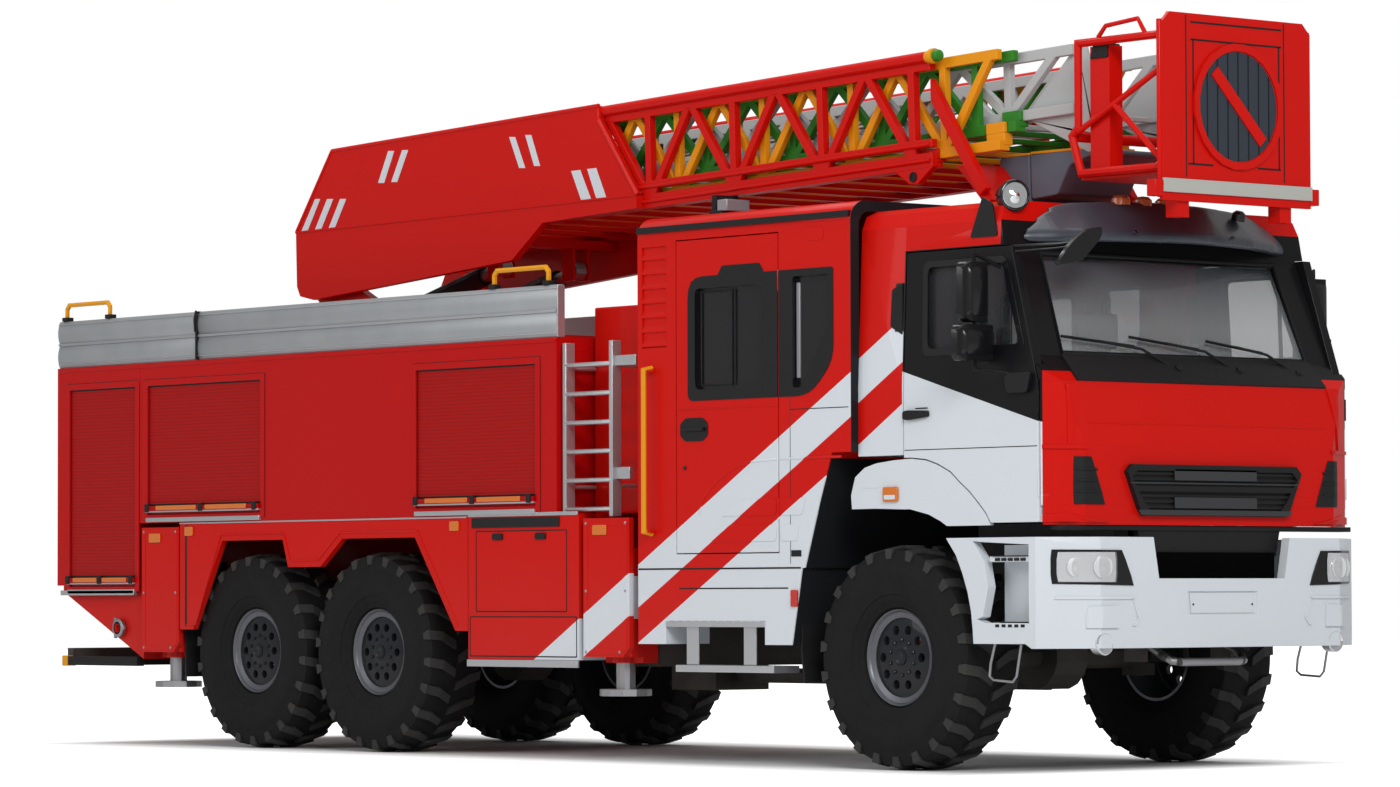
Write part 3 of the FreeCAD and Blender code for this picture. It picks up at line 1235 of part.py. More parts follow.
ram_pin = pin_y(ram_base_x, ram_y - ram_radius - ram_cheek, ram_y + ram_radius + ram_cheek, ram_base_z, ram_pin_radius)
keep("turntable", [deck] + both([bracket, ram_pin] + cheeks))

# Ladder: its own u axis runs from the pivot along the ladder, v stands across it
ladder_tilt = 1.9
hinge_x = 780
hinge_z = 3500
hinge_radius = 30
tilt = math.radians(ladder_tilt)
hinge_u = (hinge_x - pivot_x) * math.cos(tilt) + (hinge_z - pivot_z) * math.sin(tilt)
hinge_v = -(hinge_x - pivot_x) * math.sin(tilt) + (hinge_z - pivot_z) * math.cos(tilt)
bay = 790
first_node = 3050
lattice_bar = 50
rung_pitch = 300
rung_size = 30
runner_width = 40
slide_length = 150
slide_rise = 60


def in_ladder(shape):
    moved = shape.copy()
    moved.rotate(V(0, 0, 0), V(0, 1, 0), -ladder_tilt)
    moved.translate(V(pivot_x, 0, pivot_z))
    return moved


def lattice(y0, y1, low, top, rear, front, chord, node_u, depth):
    # One side of a section: two chords joined by diagonals, with uprights where they meet.
    side = [box(rear, front, y0, y1, low, low + chord), box(rear, front, y0, y1, top - chord, top)]
    top_v, low_v = top - chord / 2, low + chord / 2
    u = node_u
    while u > rear + bay:
        u -= bay
    while u + bay / 2 < front:
        side.append(bar((u, top_v), (u + bay / 2, low_v), y0, y1, depth))
        if u + bay < front:
            side.append(bar((u + bay / 2, low_v), (u + bay, top_v), y0, y1, depth))
        side.append(box(u + bay / 2 - depth / 2, u + bay / 2 + depth / 2, y0, y1, low_v, top_v))
        u += bay
    return side


def rung_floor(y0, low, rear, front):
    # The rungs and the two runners they are welded to, one flat frame between the sides.
    edge = y0 - seat
    runner = box(rear, front, edge - runner_width, edge, low, low + rung_size)
    rungs = []
    count = int((front - rear - 2 * rung_size) / rung_pitch)
    for i in range(count + 1):
        u = rear + rung_size + i * rung_pitch
        rungs.append(box(u, u + rung_size, -edge, edge, low, low + rung_size))
    return fuse(both(runner) + rungs)


class Section:
    """One telescopic section: half width, side thickness, lower and upper edge, ends and chord depth."""

    def __init__(self, half_width, thick, low, top, rear, short, chord, node_share):
        self.y0, self.y1 = half_width - thick, half_width
        self.low, self.top = low, top
        self.rear, self.front = rear, hinge_u - short
        self.chord = chord
        self.node_u = first_node + node_share * bay

    def side(self, extras=()):
        web = lattice(self.y0, self.y1, self.low, self.top, self.rear, self.front, self.chord, self.node_u, lattice_bar)
        return fuse(web + list(extras))

    def floor(self):
        return rung_floor(self.y0, self.low, self.rear, self.front)

    def foot_slide(self, outer):
        # At the rear end: a pad that fills the play to the outer section's side.
        return box(self.rear, self.rear + slide_length, self.y1 + seat, outer.y0 - seat, self.low, self.low + slide_rise)

    def head_slide(self, inner):
        # At the front end: pads that fill the play to the inner section's side, and under its chord.
        u0, u1 = self.front - slide_length, self.front
        beside = box(u0, u1, inner.y1 + seat, self.y0 - seat, inner.low, inner.low + slide_rise)
        under = box(u0, u1, inner.y0, self.y0 - seat, self.low + rung_size + seat, inner.low - seat)
        return [beside, under]


red = Section(600, 48, 171, 811, 300, 1092, 85, 0)
yellow = Section(535, 42, 222, 795, 450, 602, 60, 1 / 4)
green = Section(470, 42, 325, 785, 600, 537, 60, 1 / 2)
grey = Section(405, 42, 387, 777, 750, 132, 60, 3 / 4)

# Base section: lattice sides with their covers, the eye lug and the slanted end leg, and the nose under the tip
nose_short = 632
nose_depth = 240
nose_low = -60
nose_top = 210
nose_half = 280
cover_thick = 50
cover_top_v = 833
cover_rear_v = 339
cover_front_low_u = 3390
cover_front_top_u = 3040
cover_rear_low_u = -140
cover_rear_top_u = 269
cover_seam_v = 256
mid_rail_v = 310
mid_rail_depth = 48
eye_length = 316
eye_drop = 85
leg_width = 70
slant_width = 100
nose_front_u = hinge_u - nose_short
cover = slab_y([(cover_rear_low_u, cover_rear_v), (cover_front_low_u, cover_seam_v), (cover_front_top_u, cover_top_v - red.chord),
                (cover_front_top_u, cover_top_v), (cover_rear_top_u, cover_top_v)], red.y1 + seat, red.y1 + cover_thick)
eye_lug = slab_y([(red.front - eye_length, red.low - seat), (red.front, red.low - seat), (red.front - eye_length * 2 / 5, red.low - eye_drop),
                  (red.front - eye_length * 3 / 5, red.low - eye_drop)], red.y0, red.y1)
end_leg = bar((red.front - slant_width, red.top - red.chord / 2), (nose_front_u - slant_width / 2, nose_low + lattice_bar), red.y0, red.y1, leg_width)
end_leg = end_leg.cut(box(0, red.front + seat, 0, red.y1 + overrun, nose_low - overrun, red.top + overrun))
mid_rail = box(red.rear, red.front, red.y0, red.y1, mid_rail_v - mid_rail_depth / 2, mid_rail_v + mid_rail_depth / 2)
slant_top_u = red.front + 2 * slant_width
slant = slab_y([(slant_top_u - slant_width / 2, red.low - gap), (nose_front_u - slant_width, nose_low), (nose_front_u, nose_low), (slant_top_u + slant_width / 2, red.low - gap)],
               nose_half + seat, red.y0 - seat)
nose_box = box(nose_front_u - nose_depth, nose_front_u, -nose_half, nose_half, nose_low, nose_top)
keep("ladder_red", [in_ladder(s) for s in both([red.side([mid_rail]), cover, eye_lug, end_leg, slant] + red.head_slide(yellow)) + [red.floor(), nose_box]])
keep("ladder_yellow", [in_ladder(s) for s in both([yellow.side(), yellow.foot_slide(red)] + yellow.head_slide(green)) + [yellow.floor()]])
keep("ladder_green", [in_ladder(s) for s in both([green.side(), green.foot_slide(yellow)] + green.head_slide(grey)) + [green.floor()]])

# Innermost section, with the tip plates that carry the basket's shaft
tip_plate = 24
tip_head = 70
tip_root = 395
tip_y1 = grey.y0 - seat
tip = slab_y([(grey.front - tip_root, grey.low), (grey.front - tip_root, grey.low + grey.chord), (grey.front, grey.top), (grey.front + grey.chord, grey.top),
              (hinge_u + tip_head, hinge_v + tip_head), (hinge_u + tip_head, hinge_v - tip_head), (hinge_u - tip_head, hinge_v - tip_head)],
             tip_y1 - tip_plate, tip_y1)
tip = tip.cut(pin_y(hinge_u, 0, grey.y1 + overrun, hinge_v, hinge_radius + seat))
grey_floor = grey.floor().cut(both(box(grey.front - tip_root - gap, grey.front + overrun, tip_y1 - tip_plate - gap, grey.y1, grey.low - overrun, grey.top)))
keep("ladder_grey", [in_ladder(s) for s in both([grey.side(), grey.foot_slide(green), tip]) + [grey_floor]])

# Lifting frame: side plates under the cover, the pivot pins, the cross tubes and the rams' lugs
frame_plate = 55
frame_gap = 5
frame_low_share = -0.18
frame_outline_shares = [(-0.03, -0.72), (0.01, -1), (0.37, -0.61), (0.61, -0.34), (0.7, 1.35)]
frame_depth = 122
frame_length = cover_front_low_u - cover_rear_low_u
lift_outline = [(cover_rear_low_u, cover_rear_v - frame_gap), (cover_rear_low_u, frame_low_share * frame_depth)]
lift_outline += [(a * frame_length, b * frame_depth) for a, b in frame_outline_shares]
lift_outline += [(cover_front_low_u, red.low), (cover_front_low_u, cover_seam_v - frame_gap)]
lift_side = slab_y(lift_outline, red.y1 + seat, red.y1 + frame_plate)
pivot_pin = pin_y(0, bracket_y - plate, red.y1, 0, pivot_radius)
cross_low = red.low - 2 * ram_cheek
cross_beam = box(ram_eye_u - ram_lug_half, ram_eye_u + ram_lug_half, -red.y1, red.y1, cross_low, red.low - gap)
cross_tube = across(cover_rear_low_u + 2 * frame_plate, red.y1, (cover_rear_v + red.low) / 2, frame_plate / 2, ram_sides)
eye_lugs = []
for s in (-1, 1):
    yc = ram_y + s * ram_lug_offset
    eye_lugs.append(box(ram_eye_u - ram_lug_half, ram_eye_u + ram_lug_half, yc - ram_cheek / 4, yc + ram_cheek / 4, ram_eye_v - ram_radius, cross_low - seat))
keep("lifting_frame", [in_ladder(s) for s in both([lift_side, pivot_pin] + eye_lugs) + [cross_beam, cross_tube]])

# Rams that raise the ladder: the barrels turn on the deck's pins, the rods slide in them
eye_x = pivot_x + ram_eye_u * math.cos(tilt) - ram_eye_v * math.sin(tilt)
eye_z = pivot_z + ram_eye_u * math.sin(tilt) + ram_eye_v * math.cos(tilt)
ram_base = V(ram_base_x, ram_y, ram_base_z)
ram_eye = V(eye_x, ram_y, eye_z)
ram_line = (ram_eye - ram_base).normalize()
ram_length = (ram_eye - ram_base).Length
barrel_end = ram_length - 3 * ram_radius
eye_half = 56
eye_ring = 59
rod_eye_half = 42
barrel = fuse([pin_y(ram_base_x, ram_y - eye_half, ram_y + eye_half, ram_base_z, eye_ring),
               strut(ram_base, ram_base + ram_line * barrel_end, ram_radius, ram_sides)])
barrel = barrel.cut([pin_y(ram_base_x, 0, 2 * ram_y, ram_base_z, ram_pin_radius + seat),
                     strut(ram_base + ram_line * (2 * ram_radius), ram_base + ram_line * (barrel_end + overrun), ram_rod_radius + seat, ram_sides)])
rod_ring = ram_pin_radius + ram_cheek
ram_rod = fuse([strut(ram_base + ram_line * (2 * ram_radius + gap), ram_eye - ram_line * (ram_pin_radius + ram_cheek / 2), ram_rod_radius, ram_sides),
                strut(V(eye_x, ram_y - rod_eye_half, eye_z), V(eye_x, ram_y + rod_eye_half, eye_z), rod_ring, ram_sides)])
ram_rod = ram_rod.cut(strut(V(eye_x, 0, eye_z), V(eye_x, 2 * ram_y, eye_z), ram_pin_radius + plate, ram_sides))
keep("ram_barrels", both(barrel))
keep("ram_rods", both(ram_rod))

# Basket: floor, side frames, front panel with the round hatch, console, feet and the hinge shaft
basket_half = 580
basket_tube = 22
basket_rear_x = 830
basket_panel_x = 1490
basket_floor_z = 3290
basket_floor_depth = 36
basket_top_z = 4010
panel_low = 3105
panel_top = 4133
panel_round = 60
hatch_z = 3640
hatch_radius = 345
hatch_ring = 40
hatch_sides = 24
hatch_disc_depth = 8
hatch_bar_half = 34
kick_low = 3150
kick_high = 3225
kick_depth = 12
basket_foot_low = 3020
foot_width = 90
foot_y = 400
console_width = 150
console_depth = 100
basket_side_y = basket_half - basket_tube - plate
basket_brace = 16


def basket_side():
    # The bent frame from the top rail down to the hinge and on to the floor rail, with its braces.
    y = basket_side_y
    end_x = basket_panel_x - seat
    low_z, top_z = basket_floor_z, basket_top_z
    frame = pipe([V(end_x, y, top_z), V(basket_rear_x, y, top_z), V(basket_rear_x, y, hinge_z + 2 * basket_tube), V(hinge_x, y, hinge_z),
                  V(basket_rear_x + basket_tube, y, low_z), V(end_x, y, low_z)], basket_tube)
    upper = strut(V(basket_rear_x, y, hinge_z + basket_tube), V(end_x, y, top_z - 8 * basket_tube), basket_brace)
    lower = strut(V((basket_rear_x + end_x) / 2 - 2 * basket_tube, y, (low_z + top_z) / 2), V(end_x, y, low_z + basket_tube), basket_brace)
    trim = box(basket_rear_x - overrun * 2, end_x, 0, half_width, low_z - overrun, top_z + overrun)
    return fuse([frame, upper.common(trim), lower.common(trim)])


panel_face = [(-basket_half, panel_low), (basket_half, panel_low), (basket_half, panel_top - panel_round), (basket_half - panel_round, panel_top),
              (-basket_half + panel_round, panel_top), (-basket_half, panel_top - panel_round)]
panel = slab_x(panel_face, basket_panel_x, basket_panel_x + basket_tube)
hatch = strut(V(basket_panel_x + basket_tube + seat, 0, hatch_z), V(basket_front_x, 0, hatch_z), hatch_radius, hatch_sides)
hatch = hatch.cut(strut(V(basket_panel_x, 0, hatch_z), V(basket_front_x + overrun, 0, hatch_z), hatch_radius - hatch_ring, hatch_sides))
hatch_face_x = basket_panel_x + basket_tube + seat
hatch_disc = strut(V(hatch_face_x, 0, hatch_z), V(hatch_face_x + hatch_disc_depth, 0, hatch_z), hatch_radius - hatch_ring - seat, hatch_sides)
hatch_bar = box(hatch_face_x + hatch_disc_depth + seat, basket_front_x, -hatch_bar_half, hatch_bar_half, hatch_z - hatch_radius + hatch_ring * 2, hatch_z + hatch_radius - hatch_ring * 2)
hatch_bar.rotate(V(basket_front_x, 0, hatch_z), V(1, 0, 0), 45)
kick_strip = box(hatch_face_x, hatch_face_x + kick_depth, -basket_half, basket_half, kick_low, kick_high)
floor_half = basket_side_y - basket_tube - seat
floor_low = basket_floor_z - basket_floor_depth
basket_floor = box(basket_rear_x, basket_panel_x - seat, -floor_half, floor_half, floor_low, basket_floor_z + basket_tube / 2)
foot = box(basket_panel_x - foot_width, basket_panel_x - seat, foot_y - foot_width / 2, foot_y + foot_width / 2, basket_foot_low, floor_low - seat)
console_x = basket_rear_x + 3 * basket_tube
console_y = -floor_half + gap
console = box(console_x, console_x + console_width, console_y, console_y + console_depth, basket_floor_z + basket_tube / 2 + seat, basket_top_z - basket_tube)
hinge_shaft = pin_y(hinge_x, -floor_half, floor_half, hinge_z, hinge_radius)
keep("basket", [panel, hatch, hatch_disc, hatch_bar, kick_strip, basket_floor, console, hinge_shaft] + both([basket_side(), foot]))

# Lamps: headlamps in the bumper's recesses, fog lamps under it, and the tail lamps
fog_y = 815
fog_radius = 50
fog_depth = 60
fog_sides = 12
tail_lamp_y = 1150
tail_lamp_width = 120
tail_lamp_height = 150
tail_lamp_low = 1200
headlamp = box(bumper_front_x - lamp_recess + seat, bumper_front_x - seat, headlamp_inner + gap, headlamp_outer - gap, headlamp_low + gap, headlamp_top - gap)
tail_lamp = box(tail_x - lamp_depth, tail_x - seat, tail_lamp_y - tail_lamp_width, tail_lamp_y, tail_lamp_low, tail_lamp_low + tail_lamp_height)
fog_x = bumper_front_x - bumper_wall
fog_z = bumper_low - fog_radius - seat
fog = strut(V(fog_x, fog_y, fog_z), V(fog_x + fog_depth, fog_y, fog_z), fog_radius, fog_sides)
keep("lamps", both([headlamp, tail_lamp, fog]))
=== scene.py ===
# A fire engine with a telescopic ladder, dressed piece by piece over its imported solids.
# Lengths are metres. Along the vehicle they are taken from the front axle, and reach adds that axle's place.
import math

import bmesh
import bpy
from mathutils import Matrix, Vector


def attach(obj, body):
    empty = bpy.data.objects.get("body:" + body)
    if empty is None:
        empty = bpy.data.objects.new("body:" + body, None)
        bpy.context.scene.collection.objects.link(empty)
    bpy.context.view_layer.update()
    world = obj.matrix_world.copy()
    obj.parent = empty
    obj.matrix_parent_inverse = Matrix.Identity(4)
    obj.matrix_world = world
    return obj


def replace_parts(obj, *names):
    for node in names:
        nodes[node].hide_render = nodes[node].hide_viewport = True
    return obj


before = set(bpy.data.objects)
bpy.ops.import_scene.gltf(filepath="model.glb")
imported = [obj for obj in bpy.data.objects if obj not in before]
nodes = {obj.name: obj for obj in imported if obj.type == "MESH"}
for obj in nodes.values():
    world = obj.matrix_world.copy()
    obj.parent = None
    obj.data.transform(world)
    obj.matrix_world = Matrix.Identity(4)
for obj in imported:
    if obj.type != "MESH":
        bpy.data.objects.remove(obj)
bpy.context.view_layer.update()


# Chassis frame and axles: steel channels and castings under black paint, a little dusty low down.
# Shading holds the nodes of a material or of the sky, and Finish is the one for materials.
# Line is one of their sockets, and takes plain arithmetic.
reach = 3.4315


def maths(kind):
    """An operator of a line, which adds the maths node of this kind."""
    return lambda line, other=0: line.shading.node("ShaderNodeMath", {"operation": kind}, [line, other])


class Line:
    """A socket of some shading, which adds its maths nodes when it is used in an expression."""

    def __init__(self, shading, socket):
        self.shading, self.socket = shading, socket

    def __rsub__(self, other):
        return self.shading.node("ShaderNodeMath", {"operation": "SUBTRACT"}, [other, self])

    __add__, __sub__, __mul__, __truediv__ = map(maths, ("ADD", "SUBTRACT", "MULTIPLY", "DIVIDE"))
    __gt__, __lt__, __or__ = map(maths, ("GREATER_THAN", "LESS_THAN", "MAXIMUM"))
    __mod__, __abs__ = map(maths, ("FLOORED_MODULO", "ABSOLUTE"))


class Shading:
    """The nodes of a material or a world, with its shader and one method that adds any other node."""

    def __init__(self, owner, shader_type):
        owner.use_nodes = True
        self.tree = owner.node_tree
        self.shader = next(n for n in self.tree.nodes if n.type == shader_type)

    def wire(self, socket, value):
        if isinstance(value, Line):
            self.tree.links.new(value.socket, socket)
        else:
            socket.default_value = value

    def feed(self, **sockets):
        """Sets the shader's inputs, each from a line or a plain value."""
        for key, value in sockets.items():
            self.wire(self.shader.inputs[key.replace("_", " ")], value)
        return self

    def node(self, kind, settings, inputs, out=0):
        made = self.tree.nodes.new(kind)
        for key, value in settings.items():
            setattr(made, key, value)
        for key, value in inputs.items() if isinstance(inputs, dict) else enumerate(inputs):
            self.wire(made.inputs[key], value)
        return Line(self, made.outputs[out])

    def looked_at(self):
        """1 for rays straight from the camera or through glass, and 0 for the light that falls on things."""
        straight = self.node("ShaderNodeLightPath", {}, {}, "Is Camera Ray")
        return straight | self.node("ShaderNodeLightPath", {}, {}, "Is Transmission Ray")


class Finish(Shading):
    """A material of one colour, with the patterns and blends that change it over the surface."""

    def __init__(self, name, colour, roughness=0.4, metallic=0.0, coat=0.0):
        self.material = bpy.data.materials.new(name)
        super().__init__(self.material, "BSDF_PRINCIPLED")
        self.feed(Base_Color=(*colour, 1), Roughness=roughness, Metallic=metallic, Coat_Weight=coat)

    def place(self):
        """The x, y and z of a point at rest, x from the front axle."""
        where = self.node("ShaderNodeTexCoord", {}, {}, "Object")
        x, y, z = (self.node("ShaderNodeSeparateXYZ", {}, [where], axis) for axis in "XYZ")
        return x - reach, y, z

    def grain(self, scale, detail=3.0, stretch=None):
        where = self.node("ShaderNodeTexCoord", {}, {}, "Object")
        if stretch:
            where = self.node("ShaderNodeMapping", {}, {"Vector": where, "Scale": stretch})
        return self.node("ShaderNodeTexNoise", {}, {"Vector": where, "Scale": scale, "Detail": detail})

    def ramp(self, value, low, high, start=0.0, end=1.0, kind="LINEAR"):
        """Goes from start to end while the value goes from low to high."""
        span = {"Value": value, "From Min": low, "From Max": high, "To Min": start, "To Max": end}
        return self.node("ShaderNodeMapRange", {"interpolation_type": kind}, span)

    def blend(self, share, a, b):
        """Colour a where share is 0, and colour b where it is 1."""
        a, b = (c if isinstance(c, Line) else (*c, 1) for c in (a, b))
        return self.node("ShaderNodeMix", {"data_type": "RGBA"}, {0: share, 6: a, 7: b}, 2)

    def over(self, share, colour):
        """Lays another colour over the tone so far, where share is 1."""
        self.tone = self.blend(share, self.tone, colour)
        return self.feed(Base_Color=self.tone)

    def bump(self, height, strength=0.3, distance=0.001):
        relief = {"Strength": strength, "Distance": distance, "Height": height}
        return self.feed(Normal=self.node("ShaderNodeBump", {}, relief))


def painted(name, colour, roughness=0.3, coat=0.5, dust=0.12, worn=0.06):
    """Sprayed metal: faint orange peel, a slightly uneven tone, and road dust towards the ground."""
    made = Finish(name, colour, roughness, 0.0, coat)
    made.feed(Specular_IOR_Level=0.1)
    x, y, z = made.place()
    cloud = made.grain(3.0)
    low = made.ramp(z, 0.3, 1.3, 1.0, 0.0)
    made.tone = made.blend(cloud * worn, colour, [c * 0.55 for c in colour])
    made.over(low * cloud * dust, (0.24, 0.21, 0.18))
    made.feed(Roughness=made.grain(8.0) * 0.1 + (roughness - 0.05) + low * 0.1)
    return made.bump(made.grain(160.0, 2.0), 0.12, 0.0006)


def dress(finish, *names, edge=0.0, segments=2, angle=32):
    """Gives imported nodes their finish, and rounds their sharp edges, as folded or moulded edges are."""
    for name in names:
        node = nodes[name]
        node.data.materials.clear()
        node.data.materials.append(finish.material)
        if edge:
            node.modifiers.new("weld", "WELD").merge_threshold = 0.0002
            bevel = node.modifiers.new("edge", "BEVEL")
            bevel.width, bevel.segments = edge, segments
            bevel.limit_method, bevel.angle_limit = "ANGLE", math.radians(angle)


frame_black = painted("frame_black", (0.016, 0.016, 0.018), 0.5, 0.1, 0.5)
dress(frame_black, "chassis_frame", "axles")


# The engine block and the steering knuckles: cast iron and machined steel.
# They are as they left the mould and the lathe, oily and dull.
cast = Finish("cast_iron", (0.06, 0.06, 0.062), 0.6, 0.7)
cast.bump(cast.grain(60.0, 6.0), 0.5, 0.002)
cast.feed(Roughness=cast.grain(12.0) * 0.3 + 0.45)
dress(cast, "engine", "knuckle_left", "knuckle_right")


# Wheels: six off-road tyres with chevron lugs on dark steel rims.
# Each tyre is one turned carcass with ribbed walls, and the lugs are blocks set round it in two rows.
# The rim is a pressed disc with ten round windows, bolted to the hub and welded in a rolled well.
def spokes(up, side, radius, count):
    """Offsets of that many points, evenly round a circle."""
    turns = (2 * math.pi * k / count for k in range(count))
    return [(up * math.cos(a) + side * math.sin(a)) * radius for a in turns]


class Work:
    """A mesh under construction. Lengths along the vehicle are from the front axle."""

    def __init__(self):
        self.bm = bmesh.new()

    def point(self, x, y, z):
        return self.bm.verts.new((x + reach, y, z))

    def skin(self, rings, closed=False):
        """Joins rings of points, one after another, with caps at the two ends unless it is closed."""
        made = [[self.point(*p) for p in ring] for ring in rings]
        for a, b in zip(made, made[1:] + made[:1] if closed else made[1:]):
            for i in range(len(a)):
                self.bm.faces.new((a[i - 1], a[i], b[i], b[i - 1]))
        if not closed:
            self.bm.faces.new(made[0][::-1])
            self.bm.faces.new(made[-1])
        return self

    def block(self, x, y, z):
        """A box between two x, two y in any order, and two z."""
        (x0, x1), (y0, y1), (z0, z1) = x, sorted(y), z
        return self.skin([[(x0, y0, h), (x1, y0, h), (x1, y1, h), (x0, y1, h)] for h in (z0, z1)])

    def sheet_y(self, outline, y0, y1):
        return self.skin([[(x, y, z) for x, z in outline] for y in (y0, y1)])

    def sheet_x(self, outline, x0, x1):
        return self.skin([[(x, y, z) for y, z in outline] for x in (x0, x1)])

    def tube(self, points, radius, sides=10, closed=False, flat=1.0):
        """A round bar along the points; flat squeezes it along y."""
        line = [Vector(p) for p in points]
        rings, up = [], None
        for i, p in enumerate(line):
            before = line[i - 1] if closed or i else p
            after = line[(i + 1) % len(line)] if closed or i + 1 < len(line) else p
            ahead = (after - before).normalized()
            if up is None:
                up = ahead.orthogonal().normalized()
            up = (up - ahead * up.dot(ahead)).normalized()
            offsets = spokes(up, ahead.cross(up), radius, sides)
            rings.append([(p.x + o.x, p.y + o.y * flat, p.z + o.z) for o in offsets])
        return self.skin(rings, closed)

    def turn(self, profile, centre, axis=(0, 1, 0), sides=32, closed=False, side=1):
        """The (along, radius) profile goes round a line through centre, outwards for side."""
        axis = Vector(axis).normalized()
        up = axis.orthogonal().normalized()
        rings = []
        for along, r in profile:
            middle = Vector(centre) + axis * (side * along)
            rings.append([tuple(middle + o) for o in spokes(up, axis.cross(up), r, sides)])
        return self.skin(rings, closed)

    def mirror(self):
        """Adds the same shapes on the other side of the vehicle."""
        shapes = self.bm.verts[:] + self.bm.edges[:] + self.bm.faces[:]
        twin = bmesh.ops.duplicate(self.bm, geom=shapes)["geom"]
        for v in (g for g in twin if isinstance(g, bmesh.types.BMVert)):
            v.co.y = -v.co.y
        return self

    def piece(self, name):
        bmesh.ops.recalc_face_normals(self.bm, faces=self.bm.faces[:])
        data = bpy.data.meshes.new(name)
        self.bm.to_mesh(data)
        self.bm.free()
        made = bpy.data.objects.new(name, data)
        bpy.context.scene.collection.objects.link(made)
        return made

    def done(self, name, finish, bevel=0.0, body="truck", segments=2, smooth=True):
        """The finished piece, with its edges rounded by the bevel, riding on its body."""
        made = self.piece(name)
        made.data.materials.append(finish.material)
        if bevel:
            edge = made.modifiers.new("edge", "BEVEL")
            edge.width, edge.segments, edge.limit_method = bevel, segments, "ANGLE"
        if smooth:
            made.data.polygons.foreach_set("use_smooth", [True] * len(made.data.polygons))
            made.data.set_sharp_from_angle(angle=math.radians(38))
        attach(made, body)
        return made


wheel_r = 0.624
rubber = Finish("tyre_rubber", (0.01, 0.01, 0.011), 0.75)
rubber.feed(Base_Color=rubber.blend(rubber.grain(9.0) * 0.5, (0.006, 0.006, 0.0065), (0.014, 0.0135, 0.013)),
            Roughness=rubber.grain(30.0) * 0.25 + 0.62, Specular_IOR_Level=0.16)
rubber.bump(rubber.grain(240.0), 0.25, 0.001)
lug_rubber = Finish("lug_rubber", (0.02, 0.02, 0.021), 0.7)
lug_tone = lug_rubber.blend(lug_rubber.grain(7.0), (0.014, 0.014, 0.015), (0.034, 0.033, 0.031))
lug_rubber.feed(Base_Color=lug_tone, Specular_IOR_Level=0.35)
lug_rubber.bump(lug_rubber.grain(200.0), 0.25, 0.001)
rim_paint = painted("rim_paint", (0.009, 0.011, 0.015), 0.36, 0.2, 0.06)
rim_edge = Finish("rim_edge", (0.12, 0.125, 0.14), 0.4, 0.7)
rim_edge.bump(rim_edge.grain(90.0), 0.2, 0.0008)
tyre_wall = [(-0.136, 0.272), (-0.16, 0.282), (-0.172, 0.31), (-0.178, 0.315), (-0.186, 0.35),
             (-0.191, 0.353), (-0.2, 0.4), (-0.206, 0.45), (-0.206, 0.5), (-0.203, 0.505), (-0.2, 0.54),
             (-0.193, 0.575), (-0.182, 0.598)]
crown = [(across, 0.606) for across in (-0.15, -0.09, -0.03, 0.03, 0.09, 0.15)]
rim_well = [(-0.15, 0.2715), (0.145, 0.2715), (0.15, 0.267), (0.148, 0.262), (0.132, 0.252), (0.122, 0.222),
            (0.112, 0.222), (0.1, 0.254), (-0.15, 0.254)]
rim_disc = [(0.09, 0.0), (0.135, 0.0), (0.138, 0.03), (0.134, 0.06), (0.126, 0.09), (0.127, 0.12),
            (0.124, 0.19), (0.114, 0.2235), (0.09, 0.2235), (0.09, 0.12)]
hub_cap = [(0.1, 0.045), (0.142, 0.045), (0.15, 0.036), (0.145, 0.028), (0.145, 0.0)]
lug_turns = 22
# The lug at three places across the tread: where it starts and ends along it, and how high it stands.
lug_steps = ((0.012, -0.075, -0.018, 0.624), (0.105, -0.02, 0.045, 0.624), (0.2, -0.004, 0.06, 0.604))
lug_feet = (0.598, 0.585)
lug_on_wall = (((0.17, -0.006, 0.575), (0.17, 0.058, 0.575), (0.19, 0.05, 0.545), (0.19, 0.004, 0.545)),
               ((0.2, -0.004, 0.604), (0.2, 0.06, 0.604), (0.206, 0.05, 0.548), (0.206, 0.004, 0.548)))


def lug(work, x, y, half, place):
    """One chevron block: broad at the shoulder, slanting forwards to the middle and folding down the wall."""
    turn = 2 * math.pi * (place + 0.5 * (half > 0)) / lug_turns

    def spot(across, along, r):
        a = turn + along / wheel_r
        return x + r * math.sin(a), y + half * across, wheel_r - r * math.cos(a)

    for (c0, lead0, trail0, top0), (c1, lead1, trail1, top1), foot in zip(lug_steps, lug_steps[1:], lug_feet):
        corners = ((c0, lead0, top0), (c1, lead1, top1), (c1, trail1, top1), (c0, trail0, top0))
        work.skin([[spot(c, s, foot) for c, s, top in corners],
                   [spot(c, s * 0.9 + 0.002, top) for c, s, top in corners]])
    work.skin([[spot(*p) for p in ring] for ring in lug_on_wall])


def tyre(x, y):
    profile = tyre_wall + crown + [(-across, r) for across, r in tyre_wall[::-1]]
    work = Work().turn(profile, (x, y, wheel_r), sides=72, closed=True)
    carcass = len(work.bm.faces)
    for half in (-1, 1):
        for place in range(lug_turns):
            lug(work, x, y, half, place)
    work.bm.faces.ensure_lookup_table()
    for face in work.bm.faces[carcass:]:
        face.material_index = 1
    return work


def round_hub(x, radius, shift=0.0, count=10):
    """Places evenly round a wheel's centre, as x and z."""
    turns = (2 * math.pi * (k + shift) / count for k in range(count))
    return [(x + radius * math.sin(a), wheel_r + radius * math.cos(a)) for a in turns]


